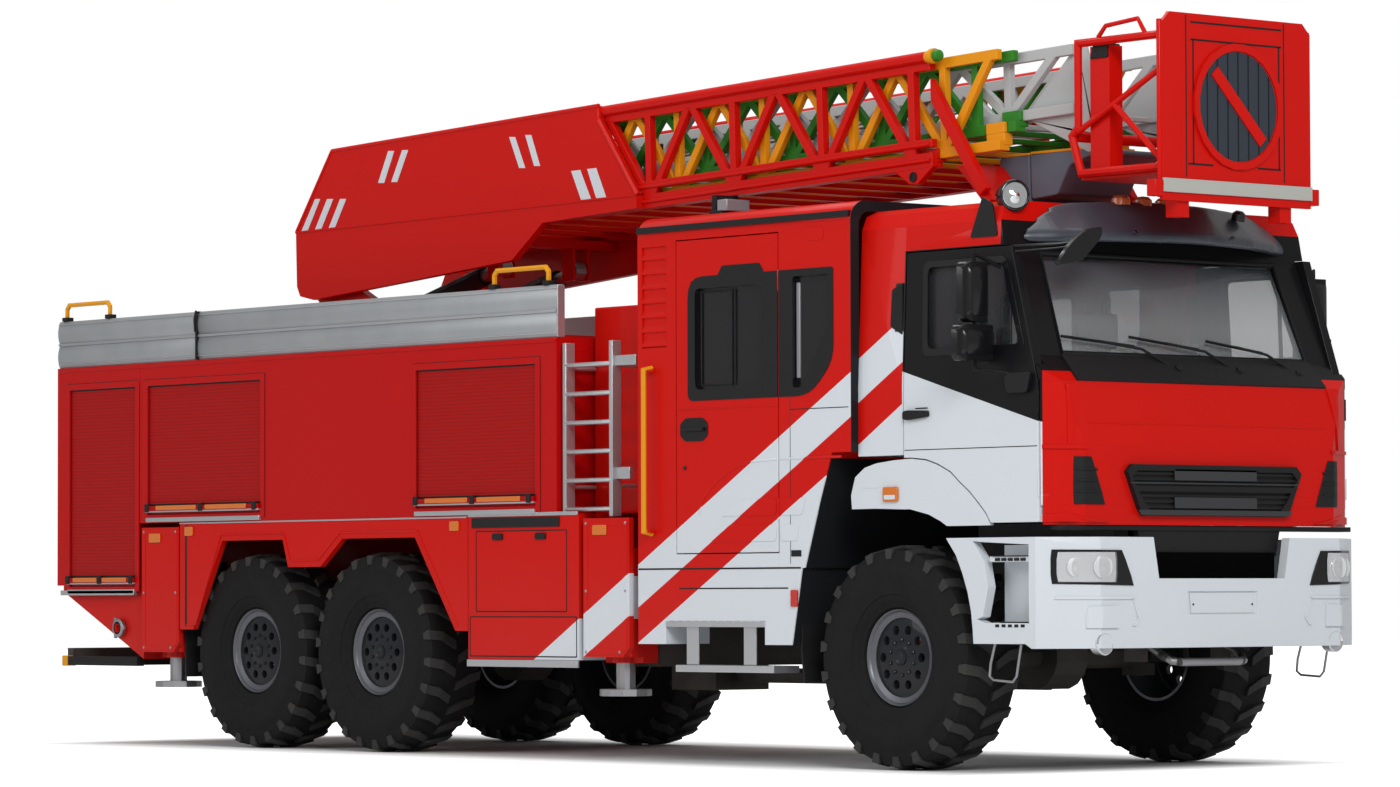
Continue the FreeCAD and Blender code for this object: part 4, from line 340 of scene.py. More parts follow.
wheels = [("%s_%s" % (axle, tag), x, side) for axle, x in (("front", 0.0), ("mid", -4.849), ("rear", -6.169))
          for tag, side in (("left", 1), ("right", -1))]
for name, x, side in wheels:
    y = side * 1.0
    body = "wheel_" + name
    made = tyre(x, y).done("tyre_" + name + "_dressed", rubber, body=body)
    made.data.materials.append(lug_rubber.material)
    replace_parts(made, "tyre_" + name)
    edge = Work().turn(rim_well, (x, y, wheel_r), sides=64, closed=True, side=side)
    edge.done("rim_edge_" + name, rim_edge, body=body)
    plate = Work().turn(rim_disc, (x, y, wheel_r), sides=64, side=side)
    plate = plate.done("rim_disc_" + name, rim_paint, body=body)
    cutter = Work()
    for cx, cz in round_hub(x, 0.158, 0.5):
        cutter.turn([(-0.1, 0.026), (0.1, 0.026)], (cx, y + side * 0.11, cz), sides=20)
    cut = cutter.done("cutter", rim_paint, body=body, smooth=False)
    hole = plate.modifiers.new("windows", "BOOLEAN")
    hole.object, hole.operation, hole.solver = cut, "DIFFERENCE", "EXACT"
    cut_plate = plate.evaluated_get(bpy.context.evaluated_depsgraph_get())
    plate_mesh = bpy.data.meshes.new_from_object(cut_plate)
    plate.modifiers.clear()
    plate.data = plate_mesh
    bpy.data.objects.remove(cut)
    nuts = Work()
    for cx, cz in round_hub(x, 0.098):
        nuts.turn([(0.1, 0.011), (0.134, 0.011), (0.138, 0.007)], (cx, y, cz), sides=6, side=side)
    nuts.turn(hub_cap, (x, y, wheel_r), side=side)
    nuts.done("rim_nuts_" + name, rim_paint, body=body)
    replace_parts(plate, "rim_" + name)


# Outriggers: the beams' end covers are body panels in the livery, and the jacks are grey steel on round feet.
# The livery is sprayed on the side as slanting bands, so every panel takes it from its own place.
red = (0.55, 0.006, 0.003)
deep_red = (0.46, 0.003, 0.003)
white = (0.60, 0.64, 0.68)
slope = 0.567
band_white, band_red, band_low = 2.377, 2.127, 1.922
flank = 1.25
white_paint = painted("white_paint", white, 0.3, 0.1, 0.1, 0.03)


def livery(name, pick):
    """Red paint with white bands; pick gets a place's x and z, and gives the white share."""
    made = painted(name, red, 0.3, 0.08, 0.1)
    x, y, z = made.place()
    return made.over(pick(x, z), white)


def rear_bands(x, z):
    line = z - x * slope
    return (line < band_white) * (line > band_red)


def rounded(points, radius, steps=4):
    """An outline with every corner rounded by the same radius, or by one of a list."""
    line = []
    for i, p in enumerate(points):
        r = radius[i] if isinstance(radius, list) else radius
        p, a, b = Vector(p), Vector(points[i - 1]), Vector(points[(i + 1) % len(points)])
        start = p + (a - p).normalized() * min(r, (a - p).length * 0.48)
        end = p + (b - p).normalized() * min(r, (b - p).length * 0.48)
        for k in range(steps + 1):
            t = k / steps
            line.append(tuple(start.lerp(p, t).lerp(p.lerp(end, t), t)))
    return line


def oblong(x0, x1, z0, z1, radius, steps=4):
    return rounded([(x0, z0), (x1, z0), (x1, z1), (x0, z1)], radius, steps)


def frame_y(work, outer, inner, y0, y1):
    """A flat surround between two outlines of as many points, standing from y0 to y1."""
    lines = ((outer, y0), (outer, y1), (inner, y1), (inner, y0))
    return work.skin([[(x, y, z) for x, z in line] for line, y in lines], closed=True)


def plain(name, colour, roughness, metallic=0.0, coat=0.0, spread=0.12, fine=40.0):
    """One even finish, with its roughness varied a little over the surface."""
    made = Finish(name, colour, roughness, metallic, coat)
    return made.feed(Roughness=made.grain(fine) * spread + (roughness - spread / 2))


jack_steel = plain("jack_steel", (0.32, 0.32, 0.33), 0.42, 0.85, spread=0.3, fine=20.0)
jack_steel.bump(jack_steel.grain(70.0), 0.3, 0.001)
matt_black = plain("matt_black", (0.011, 0.011, 0.012), 0.55, spread=0.2).feed(Specular_IOR_Level=0.2)
matt_black.bump(matt_black.grain(90.0), 0.15, 0.0006)
amber = plain("amber_lens", (0.62, 0.15, 0.01), 0.22, coat=0.3)
cover_paint = livery("cover_paint", rear_bands)
rigs = [("%s_%s" % (end, tag), x, side) for end, x in (("front", -2.462), ("rear", -7.134))
        for tag, side in (("left", 1), ("right", -1))]
for rig, x, side in rigs:
    dress(cover_paint, "outrigger_" + rig, edge=0.005)
    dress(jack_steel, "jack_" + rig)
    y = side * flank
    body = "beam_" + rig
    edge = [(x - 0.2, 0.625), (x + 0.15, 0.625), (x + 0.2, 0.675), (x + 0.2, 1.415), (x - 0.2, 1.415)]
    inner = [(x - 0.17, 0.655), (x + 0.14, 0.655), (x + 0.17, 0.69), (x + 0.17, 1.385), (x - 0.17, 1.385)]
    bead = frame_y(Work(), rounded(edge, 0.02), rounded(inner, 0.02), y - side * 0.002, y + side * 0.003)
    bead.done("cover_bead_" + rig, cover_paint, 0.001, body)
    marker = Work().sheet_y(oblong(x - 0.12, x + 0.01, 1.33, 1.39, 0.012), y, y + side * 0.009)
    marker.done("cover_marker_" + rig, amber, 0.003, body)
    bolts = Work()
    for bx, bz in ((-0.185, 0.64), (0.13, 0.64), (0.185, 1.4), (-0.185, 1.4), (0.185, 1.0), (-0.185, 1.0)):
        bolts.turn([(0.0, 0.009), (0.005, 0.009), (0.007, 0.005)], (x + bx, y, bz), sides=12, side=side)
    bolts.done("cover_bolts_" + rig, jack_steel, body=body)


# Lower lockers and arch panels: red sheet steel, with the band's white corner on the front one.
# Flaps are marked by their gaps, and small amber markers and a grey rail are screwed on.
def locker_bands(x, z):
    return (z - x * slope < band_white) * (x > -4.0)


def about(middle, half):
    return middle - half, middle + half


def gap(work, x0, x1, z0, z1, y=-flank, wide=0.007):
    """The dark gap round a flap or a door, as a narrow surround on the near side."""
    inner = oblong(x0 + wide, x1 - wide, z0 + wide, z1 - wide, 0.01)
    return frame_y(work, oblong(x0, x1, z0, z1, 0.01), inner, y, y - 0.0015)


locker_paint = livery("locker_paint", locker_bands)
dress(locker_paint, "lower_body", edge=0.004)
alloy = plain("alloy", (0.50, 0.51, 0.53), 0.36, 0.8, spread=0.25, fine=30.0)
alloy.bump(alloy.grain(60.0), 0.15, 0.0006)
gaps = gap(Work(), -3.72, -2.83, 0.875, 1.368)
gap(gaps, -3.78, -2.735, 0.605, 0.85)
gaps.mirror().done("locker_gaps", matt_black)
ledges = Work()
ledges.block((-3.8, -2.72), (-1.259, -1.245), (0.545, 0.588))
ledges.block((-3.79, -2.72), (-1.259, -1.252), (1.452, 1.474))
ledges.block((-6.9, -3.81), (-1.256, -1.25), (1.448, 1.458))
ledges.mirror().done("locker_rails", alloy, 0.002)
catches = Work()
catches.block((-3.755, -2.9), (-1.257, -1.251), (1.385, 1.445))
for x in (-3.5, -3.08):
    catches.sheet_y(oblong(*about(x, 0.05), 1.31, 1.35, 0.015), -1.26, -1.25)
catches.block((-6.84, -6.82), (-1.2515, -1.25), (0.78, 1.44))
catches.mirror().done("locker_latches", matt_black, 0.002)
arch = [(-6.82, 0.79), (-6.72, 0.79), (-6.43, 1.375), (-5.73, 1.375), (-5.66, 1.2), (-5.36, 1.2),
        (-5.12, 1.375), (-4.31, 1.375), (-3.905, 0.79)]
Work().tube([(x, -1.251, z) for x, z in arch], 0.007, 8).mirror().done("arch_bead", locker_paint)
markers = Work()
for x in (-6.79, -3.93):
    markers.sheet_y(oblong(*about(x, 0.045), *about(1.40, 0.03), 0.012), -1.262, -1.25)
markers.mirror().done("side_markers", amber, 0.003)

# Mudflaps of black rubber hang behind the front wheels and the last ones, and the rear guard is a black bar.
# The guard's ends are yellow, and the hose coupling in the side has a lugged steel collar.
front_flap = [(-0.60, 1.42), (-0.665, 1.25), (-0.735, 1.05), (-0.775, 0.85), (-0.785, 0.66), (-0.76, 0.48)]
rear_flap = [(-6.93, 1.2), (-6.935, 0.8), (-6.925, 0.45)]
guards = Work()
for line in (front_flap, rear_flap):
    guards.skin([[(x, -1.19, z), (x, -0.86, z), (x + 0.012, -0.86, z), (x + 0.012, -1.19, z)]
                 for x, z in line])
guards.block((-8.33, -7.45), (-1.22, -1.16), (0.515, 0.575))
for x0, x1 in ((-8.2, -8.14), (-7.6, -7.54)):
    guards.block((x0, x1), (-1.2, -0.43), (0.52, 0.57))
guards.mirror().done("mudflaps_and_guards", matt_black, 0.003)
guard_ends = Work().block((-8.345, -8.28), (-1.225, -1.155), (0.51, 0.58))
rail_yellow = painted("rail_yellow", (0.70, 0.30, 0.012), 0.35, 0.1, 0.0)
guard_ends.mirror().done("guard_ends", rail_yellow, 0.003)
collar = [(0.0, 0.05), (-0.02, 0.05), (-0.02, 0.062), (-0.032, 0.062), (-0.036, 0.054), (-0.036, 0.028),
          (0.0, 0.028)]
coupling = Work().turn(collar, (-7.655, -1.204, 0.767), closed=True)
for k in range(3):
    a = 2 * math.pi * k / 3
    cx, cz = -7.655 + 0.066 * math.cos(a), 0.767 + 0.066 * math.sin(a)
    coupling.block(about(cx, 0.011), (-1.236, -1.222), about(cz, 0.011))
coupling.done("coupling_collar", jack_steel, 0.002)


# Crew cab and its doors: red above, white below the bands, with dark windows in one long flush strip.
# The arch bead and the two trapezes are pressed in the sheet. The handle is a black bowl with a bar across.
def crew_bands(x, z):
    return rear_bands(x, z) | (z - x * slope < band_low)


arch_black_and_shade = (0.012, 0.013, 0.015)
glass_dark = (0.012, 0.014, 0.016)
crew_paint = livery("crew_paint", crew_bands)
gloss_black = plain("gloss_black", (0.006, 0.006, 0.007), 0.22, coat=0.15, spread=0.08)
gloss_black.feed(Specular_IOR_Level=0.3)
x, y, z = crew_paint.place()
# Inside the wheel arch the paint goes near-black: partly the black arch lining, partly painted shade. The
# crew cab's front end beside the front cab is painted shade.
crew_paint.over((abs(y) < 1.243) * (x > -0.93) * (z < 1.74) | (x > -0.281), arch_black_and_shade)
dress(crew_paint, "crew_cab", "crew_door_right", "crew_door_left", edge=0.005)


def glazing(name, colour, roughness):
    return plain(name, colour, roughness, coat=0.2, spread=0.01, fine=2.0)


tinted = glazing("tinted_glass", glass_dark, 0.06).feed(Alpha=0.62)
door_tint = glazing("door_glass", (0.05, 0.055, 0.06), 0.06).feed(Alpha=0.35)
clear = glazing("clear_glass", (0.30, 0.32, 0.33), 0.05)
dress(tinted, "crew_door_glass_right", "crew_door_glass_left")
dress(door_tint, "cab_door_glass_right", "cab_door_glass_left")
x, y, z = clear.place()
behind = x < -0.3
# The windscreen is painted lighter low down and darker towards the top: a painted reflection below, and
# painted shade under the visor.
pane = clear.blend(clear.ramp(z, 2.45, 2.8), (0.34, 0.36, 0.37), (0.12, 0.13, 0.15))
clear.feed(Base_Color=clear.blend(behind, pane, glass_dark), Alpha=behind * 0.3 + 0.32)
dress(clear, "glass")
strip_grey = plain("window_grey", (0.30, 0.31, 0.33), 0.4, 0.4)

handle_bowl = [(-1.767, 1.895), (-1.72, 1.862), (-1.567, 1.862), (-1.52, 1.895), (-1.52, 1.965),
               (-1.567, 1.998), (-1.72, 1.998), (-1.767, 1.965)]
quarter_outer = [(-0.893, 2.095), (-0.62, 2.095), (-0.425, 2.29), (-0.425, 2.815), (-0.893, 2.815)]
quarter_inner = [(-0.772, 2.145), (-0.69, 2.145), (-0.462, 2.49), (-0.462, 2.775), (-0.772, 2.775)]
door_arch = [(-1.60, 1.44), (-1.554, 1.541), (-1.47, 1.61), (-1.38, 1.664), (-1.27, 1.706), (-1.155, 1.735),
             (-0.92, 1.744)]
# Dark strips and gaps round the door: their x, their z, and how far in and out of the flank they stand.
dark_strips = (((-2.155, -0.285), (3.088, 3.124), -0.01, 0.014),
               ((-2.155, -0.71), (1.121, 1.131), -0.004, 0.0015),
               ((-0.79, -0.705), (1.19, 1.226), 0, 0.003), ((-1.786, -0.82), (1.008, 1.016), 0, 0.0015),
               ((-0.8, -0.796), (1.15, 2.09), 0, 0.0012), ((-0.8, -0.3), (2.02, 2.025), 0, 0.0012))
for tag, side in (("right", -1), ("left", 1)):
    body = "crew_door_%s_body" % tag

    def at(lift):
        return side * flank + side * lift

    strip = frame_y(Work(), oblong(-1.70, -0.906, 2.095, 2.815, [0.05, 0.002, 0.002, 0.13]),
                    oblong(-1.635, -1.045, 2.16, 2.745, 0.04), at(-0.05), at(0.004))
    upper = rounded([(-1.43, 2.815), (-1.02, 2.815), (-1.06, 2.868), (-1.39, 2.868)], 0.008)
    strip.sheet_y(upper, at(0), at(0.004))
    strip.sheet_y(rounded(handle_bowl, 0.016), at(-0.002), at(0.006))
    strip.turn([(0.0, 0.012), (0.008, 0.012), (0.01, 0.006)], (-1.728, at(0), 1.71), sides=16, side=side)
    strip.done("crew_window_strip_" + tag, gloss_black, 0.0015, body)
    bars = Work()
    for x in (-1.60, -1.33, -1.30):
        bars.tube([(x, at(-0.02), 2.18), (x, at(-0.02), 2.73)], 0.005, 6)
    for z in (2.185, 2.725):
        bars.tube([(-1.60, at(-0.02), z), (-1.33, at(-0.02), z)], 0.005, 6)
    bars.tube([(-1.74, at(0.012), 1.93), (-1.55, at(0.012), 1.93)], 0.012, 10)
    bars.done("crew_window_slider_" + tag, matt_black, body=body)
    quarter = frame_y(Work(), rounded(quarter_outer, [0.002, 0.12, 0.09, 0.02, 0.002]),
                      rounded(quarter_inner, [0.02, 0.05, 0.05, 0.02, 0.02]), at(-0.055), at(0.004))
    for xs, zs, low, high in dark_strips:
        quarter.block(xs, (at(low), at(high)), zs)
    quarter.done("crew_quarter_strip_" + tag, gloss_black, 0.0015)
    post = Work().block((-0.765, -0.735), (at(-0.035), at(-0.02)), (2.2, 2.74))
    post.done("crew_window_post_" + tag, strip_grey, 0.003)
    pressed = Work().tube([(x, at(0), z) for x, z in door_arch], 0.008, 8, flat=0.7)
    for x0, x1, x2, z0, z1 in ((-1.41, -0.92, -1.231, 1.425, 1.522), (-1.50, -0.92, -1.42, 1.278, 1.372)):
        pressed.sheet_y(rounded([(x0, z0), (x1, z0), (x1, z1), (x2, z1)], 0.03), at(0), at(0.004))
    pressed.block((-1.8, -0.92), (at(0), at(0.004)), (2.045, 2.052))
    pressed.done("crew_door_pressing_" + tag, crew_paint, 0.003, body)
    ahead = Work().tube([(-0.88, at(0), 1.744), (-0.361, at(0), 1.746)], 0.008, 8, flat=0.7)
    for x0, x1, x2, z0, z1 in ((-0.88, -0.70, -0.66, 1.425, 1.522), (-0.88, -0.74, -0.72, 1.278, 1.372)):
        ahead.sheet_y(rounded([(x0, z0), (x1, z0), (x2, z1), (x0, z1)], 0.02), at(0), at(0.004))
    ahead.sheet_y(oblong(-0.66, -0.505, 2.97, 3.05, 0.03), at(0), at(0.003))
    for zs in ((2.27, 2.285), (1.338, 1.353)):
        ahead.block((-2.06, -2.0), (at(0.05), at(0)), zs)
    ahead.done("crew_side_pressing_" + tag, crew_paint, 0.003)
    reflex = Work().sheet_y(oblong(-0.79, -0.732, 0.906, 1.002, 0.01), at(0), at(0.012))
    red_lens = plain("red_lens_" + tag, (0.5, 0.02, 0.01), 0.25, coat=0.4)
    reflex.done("crew_side_reflector_" + tag, red_lens, 0.003)
    sill = Work().block((-1.904, -1.02), (at(0.004), at(-0.2)), (0.79, 0.822))
    for k in range(12):
        x = -1.87 + k * 0.073
        sill.block((x, x + 0.05), (at(0.006), at(-0.19)), (0.821, 0.826))
    sill.done("crew_sill_tread_" + tag, alloy, 0.002)
dress(alloy, "crew_steps", edge=0.006)
dress(rail_yellow, "handrails")


# Front cab and its doors: red roof and front, black window frame, white below the slanting line on the door.
# The shell is pressed steel. The visor is a plastic moulding, so its packed facets are melted into one skin.
waist = 2.233
door_slope = 0.28
pillar_slope = 0.6


def cab_bands(x, z):
    front = x > 1.19
    pillar = x < 0.09
    line = z - x * pillar_slope
    bands = ((line < 2.457) * (line > 2.208)) | (line < 1.974)
    low = z + x * door_slope < waist
    return (pillar * bands + (1 - pillar) * low) * (1 - front)


cab_paint = livery("cab_paint", cab_bands)
x, y, z = cab_paint.place()
door_frame = (x > 0.09) * (z < 2.876) * (z + x * door_slope > waist) * (x < 1.191)
screen_frame = ((z > 2.2) * (z < 2.876) * (x > 0.6)) | ((z > 2.2) * (z < 3.09) * (x > 0.86))
plate_edge = (x > 0.02) * (x < 0.1) * (z > 2.43) * (z < 2.7) * (z - x * pillar_slope > 2.36)
cab_paint.over(door_frame | screen_frame | plate_edge, (0.008, 0.008, 0.009))
dress(cab_paint, "front_cab", "cab_door_right", "cab_door_left", edge=0.008, segments=3)
dress(matt_black, "cab_interior")
dress(matt_black, "grille", edge=0.004)
visor_grey = plain("visor_grey", (0.034, 0.04, 0.055), 0.34, coat=0.15)
visor_grey.bump(visor_grey.grain(220.0), 0.15, 0.0005)
dress(visor_grey, "visor")
fender_paint = painted("fender_paint", white, 0.3, 0.1, 0.15, 0.03)
x, y, z = fender_paint.place()
# The fender's inner faces are near-black: partly black lining, partly painted shade inside the arch.
fender_paint.over((abs(y) < 1.17) * (z < 1.6), arch_black_and_shade)
dress(fender_paint, "fenders", edge=0.012, segments=3)
grid = nodes["visor"].modifiers.new("grid", "REMESH")
grid.mode, grid.voxel_size, grid.use_smooth_shade = "VOXEL", 0.011, True
moulded = nodes["visor"].modifiers.new("moulded", "SMOOTH")
moulded.factor, moulded.iterations = 0.5, 26


def cab_face(y, z):
    """The x of the cab's front at a place on it, with the cut corners and the slope under the windscreen."""
    front = 1.30 if z < 1.7865 else 1.30 - (z - 1.7865) * 0.1753
    return min(front, 1.30 - (abs(y) - 0.97) * 0.5217) if abs(y) > 0.97 else front


def hug(work, face, corners, lift, side=1, ends=0.0, count=9, rows=1, back=0.004):
    """A plate that follows a face, between the two ends of its low edge and the two ends of its high edge."""
    low0, low1, high0, high1 = (Vector((side * y, z)) for y, z in corners)
    rings = []
    for k in range(rows + 1):
        a, b = low0.lerp(high0, k / rows), low1.lerp(high1, k / rows)
        cut = ends if k in (0, rows) else 0.0
        a, b = a.lerp(b, cut), b.lerp(a, cut)
        row = [tuple(a.lerp(b, i / count)) for i in range(count + 1)]
        front = [(face(y, z) + lift, y, z) for y, z in row]
        rings.append(front + [(face(y, z) - back, y, z) for y, z in row[::-1]])
    return work.skin(rings)


vents = Work()
vent = ((1.03, 1.456), (0.82, 1.456), (1.028, 1.715), (0.922, 1.715))
for s in (-1, 1):
    hug(vents, cab_face, vent, 0.006, s, 0.02, rows=4)
    for z in (1.52, 1.58, 1.64):
        hug(vents, cab_face, ((1.02, z), (0.88, z), (1.02, z + 0.012), (0.885, z + 0.012)), 0.012, s)
vents.block((1.19, 1.29), (-1.12, 1.12), (1.318, 1.345))
vents.done("side_vents", matt_black, 0.002)
# Folds of the front sheet: corners, rows and lift.
folds = ((((1.185, 1.755), (0.95, 1.755), (1.185, 1.775), (0.95, 1.775)), 1, 0.012),
         (((1.185, 1.36), (0.80, 1.36), (1.185, 1.40), (1.08, 1.41)), 2, 0.012),
         (((1.06, 1.775), (1.045, 1.775), (1.06, 2.10), (0.975, 2.125)), 3, 0.01))
pressing = Work()
for s in (-1, 1):
    for corners, rows, lift in folds:
        hug(pressing, cab_face, corners, lift, s, rows=rows)
hug(pressing, cab_face, ((-0.93, 1.895), (0.93, 1.895), (-0.93, 1.902), (0.93, 1.902)), 0.003)
pressing.done("cab_front_pressing", cab_paint, 0.003)
mesh_grey = plain("grille_grey", (0.024, 0.025, 0.027), 0.5)
ridge = Work().block((1.333, 1.338), (-0.66, 0.66), (1.572, 1.58))
for zs in ((1.592, 1.655), (1.44, 1.50)):
    ridge.skin([[(1.334, -0.32, z), (1.334, 0.32, z), (1.328, 0.32, z), (1.328, -0.32, z)] for z in zs])
ridge.sheet_x([(-0.58, 1.401), (0.58, 1.401), (0.60, 1.43), (-0.60, 1.43)], 1.33, 1.337)
ridge.done("grille_ridge", mesh_grey, 0.002)


# Windscreen furniture: three wipers, the rubber round the pane, and the visor's fixings and lamps.
# Each arm is bent steel on a round foot, and its blade is clipped on at the middle.
def on_screen(y, z, off):
    return 1.11 - (z - 2.264) * 0.3793 + off, y, z


wiper = Work()
for foot, elbow, near, far in (
        ((-0.132, 2.205), (-0.36, 2.315), (-0.936, 2.372), (-0.398, 2.33)),
        ((0.351, 2.205), (0.13, 2.315), (-0.416, 2.382), (0.098, 2.326)),
        ((0.825, 2.2), (0.62, 2.31), (0.18, 2.375), (0.604, 2.32))):
    middle = [(a + b) / 2 for a, b in zip(near, far)]
    clips = [[a * 0.75 + m * 0.25 for a, m in zip(tip, middle)] for tip in (near, far)]
    wiper.tube([(1.165, *foot), on_screen(*elbow, 0.035), on_screen(*middle, 0.03)], 0.008, 8)
    wiper.tube([on_screen(*near, 0.018), on_screen(*far, 0.018)], 0.009, 6)
    wiper.tube([on_screen(*clips[0], 0.03), on_screen(*middle, 0.035), on_screen(*clips[1], 0.03)], 0.005, 6)
    wiper.turn([(-0.015, 0.022), (0.03, 0.022), (0.035, 0.012)], (1.16, *foot), (1, 0, 0.6), 16)
screen_corners = ((-0.95, 2.275), (-0.91, 2.835), (0.91, 2.835), (0.95, 2.275))
wiper.tube([on_screen(*p, 0.002) for p in screen_corners], 0.012, 8, closed=True)
wiper.done("wipers", matt_black)
chrome = plain("chrome", (0.75, 0.76, 0.78), 0.1, 1.0, spread=0.06)
studs = Work()
for y in (-0.411, 0.352):
    studs.turn([(0.0, 0.013), (0.008, 0.011)], (1.13, y, 2.955), (0.8, 0, 0.6), 14)
studs.turn([(-0.01, 0.04), (0.03, 0.038), (0.045, 0.02)], (0.98, 0.55, 3.08), (0.3, 0, 1), 20)
studs.done("visor_studs", gloss_black)
dome = [(-0.02, 0.055), (0.015, 0.052), (0.032, 0.035), (0.037, 0.0)]
roof_lamps = Work()
for y in (-0.31, -0.14, 0.03):
    roof_lamps.turn(dome, (0.915, y, 3.142), (0, 0, 1), 24)
roof_lamps.done("roof_lamps", plain("brown_lens", (0.45, 0.10, 0.03), 0.25, coat=0.4))

# Spotlight and the front view mirror, both on black brackets at the near corner of the roof.
# The lamp is a spun bowl round a bright reflector, and the mirror a moulded wing on two thin arms.
spot_place, spot_aim = (0.84, -1.06, 3.145), (0.93, -0.36, 0)
shell_profile = [(-0.1, 0.02), (-0.088, 0.05), (-0.055, 0.078), (0.0, 0.088), (0.034, 0.088), (0.04, 0.082),
                 (0.03, 0.074)]
spot = Work().turn(shell_profile, spot_place, spot_aim, 28)
spot.tube([(0.78, -1.02, 3.0), (0.78, -1.02, 3.09), (0.8, -1.035, 3.12)], 0.014, 8)
spot.sheet_y(rounded([(0.62, 2.92), (0.84, 2.92), (0.8, 3.1), (0.72, 3.14)], 0.02), -1.175, -1.165)
spot.done("spotlight_shell", gloss_black)
face_profile = [(0.033, 0.075), (0.038, 0.07), (0.036, 0.03), (0.044, 0.018), (0.048, 0.0)]
Work().turn(face_profile, spot_place, spot_aim, 28).done("spotlight_face", chrome)
wing = Work()
wing.tube([(0.93, -1.15, 2.86), (1.12, -0.98, 2.87), (1.185, -0.86, 2.89)], 0.009, 8)
wing.tube([(0.95, -1.15, 2.83), (1.12, -0.98, 2.85), (1.185, -0.88, 2.87)], 0.007, 8)
wing_outline = [(-1.085, 2.745), (-0.90, 2.775), (-0.745, 2.915), (-0.745, 2.968), (-0.87, 2.948),
                (-0.985, 2.868)]
wing.sheet_x(rounded(wing_outline, [0.03, 0.05, 0.03, 0.02, 0.05, 0.05]), 1.18, 1.215)
wing.done("front_view_mirror", gloss_black, 0.008, segments=3)

# Door furniture: handles, window rubbers, the mirrors' foot, and the side lamps on the fenders.
# All of it is moulded plastic or rubber, clipped or screwed to the sheet.
cab_flank = 1.2


def pane_outline(yc, width, low, top, inset, radius, steps=4):
    return oblong(yc - width / 2 + inset, yc + width / 2 - inset, low + inset, top - inset, radius, steps)


for tag, side in (("right", -1), ("left", 1)):
    body = "cab_door_%s_body" % tag
    mirror_y = side * 1.33

    def at(lift):
        return side * cab_flank + side * lift

    def lean(z):
        """The y of the cab's side, which leans in above the waist."""
        return side * (cab_flank - 0.04 * max(0.0, z - 2.121) / 0.999)

    outer = rounded([(0.255, 2.285), (1.08, 2.285), (0.91, 2.81), (0.245, 2.81)], 0.05)
    inner = rounded([(0.295, 2.325), (1.025, 2.325), (0.88, 2.775), (0.282, 2.775)], 0.04)
    lines = ((outer, -0.002), (outer, 0.005), (inner, 0.005), (inner, -0.002))
    rings = [[(x, lean(z) + side * lift, z) for x, z in line] for line, lift in lines]
    trim = Work().skin(rings, closed=True)
    trim.tube([(0.7, lean(2.3) - side * 0.01, 2.32), (0.7, lean(2.8) - side * 0.01, 2.78)], 0.012, 8)
    handle = [(0.114, 1.94), (0.16, 1.935), (0.314, 1.95), (0.314, 1.985), (0.16, 1.99), (0.114, 1.985)]
    trim.sheet_y(rounded(handle, 0.015), at(0), at(0.022))
    trim.block((0.2, 0.3), (at(0), at(0.0015)), (1.996, 2.003))
    foot = rounded([(0.96, 2.06), (1.12, 2.06), (1.15, 2.17), (0.94, 2.17)], 0.025)
    trim.sheet_y(foot, at(-0.002), at(0.03))
    trim.block((0.11, 1.17), (at(0), at(0.0012)), (1.768, 1.773))
    trim.done("cab_door_trim_" + tag, gloss_black, 0.003, body)
    mirror = Work()
    for low, top, width in ((2.448, 2.775, 0.175), (2.237, 2.433, 0.255)):
        mirror.sheet_x(pane_outline(mirror_y, width, low, top, 0.014, 0.02), 0.7715, 0.774)
    mirror.done("mirror_glass_" + tag, chrome, body=body)
    shell = Work()
    for low, top, width in ((2.446, 2.777, 0.18), (2.235, 2.435, 0.26)):
        shell.skin([[(x, y, z) for y, z in pane_outline(mirror_y, width, low, top, inset, 0.045, 5)]
                    for x, inset in ((0.774, 0.0), (0.82, 0.002), (0.85, 0.014), (0.866, 0.035))])
    shell.done("mirror_shell_" + tag, gloss_black, body=body)
    pillar = rounded([(-0.015, 2.46), (0.085, 2.41), (0.085, 2.70), (0.0, 2.665)], 0.01)
    plate = Work().sheet_y(pillar, lean(2.55) - side * 0.004, lean(2.55) + side * 0.008)
    plate.done("pillar_plate_" + tag, gloss_black, 0.002)
    lamp = Work().sheet_y(oblong(-0.06, 0.06, 1.488, 1.57, 0.012), at(0), at(0.016))
    lamp.done("fender_lamp_" + tag, amber, 0.004)
    lamp = Work().sheet_y(oblong(-0.045, 0.045, 1.50, 1.525, 0.006), at(0.015), at(0.019))
    lamp.block((-0.24, -0.09), (at(0), at(0.002)), (1.566, 1.572))
    lamp.done("fender_lamp_clear_" + tag, white_paint, 0.002)


# Bumper: white moulding with wrapped headlamps in black surrounds, fog lamps below, and wire guards.
# The lamps are bright bowls behind clear covers, and the moulding's middle is open to the radiator;
# near-black blocks in its openings are painted shade.
def bumper_face(y, z):
    """The x of the bumper's front, which is upright and swept back at its ends."""
    return 1.378 if abs(y) < 0.933 else 1.378 - (abs(y) - 0.933) * 0.6333


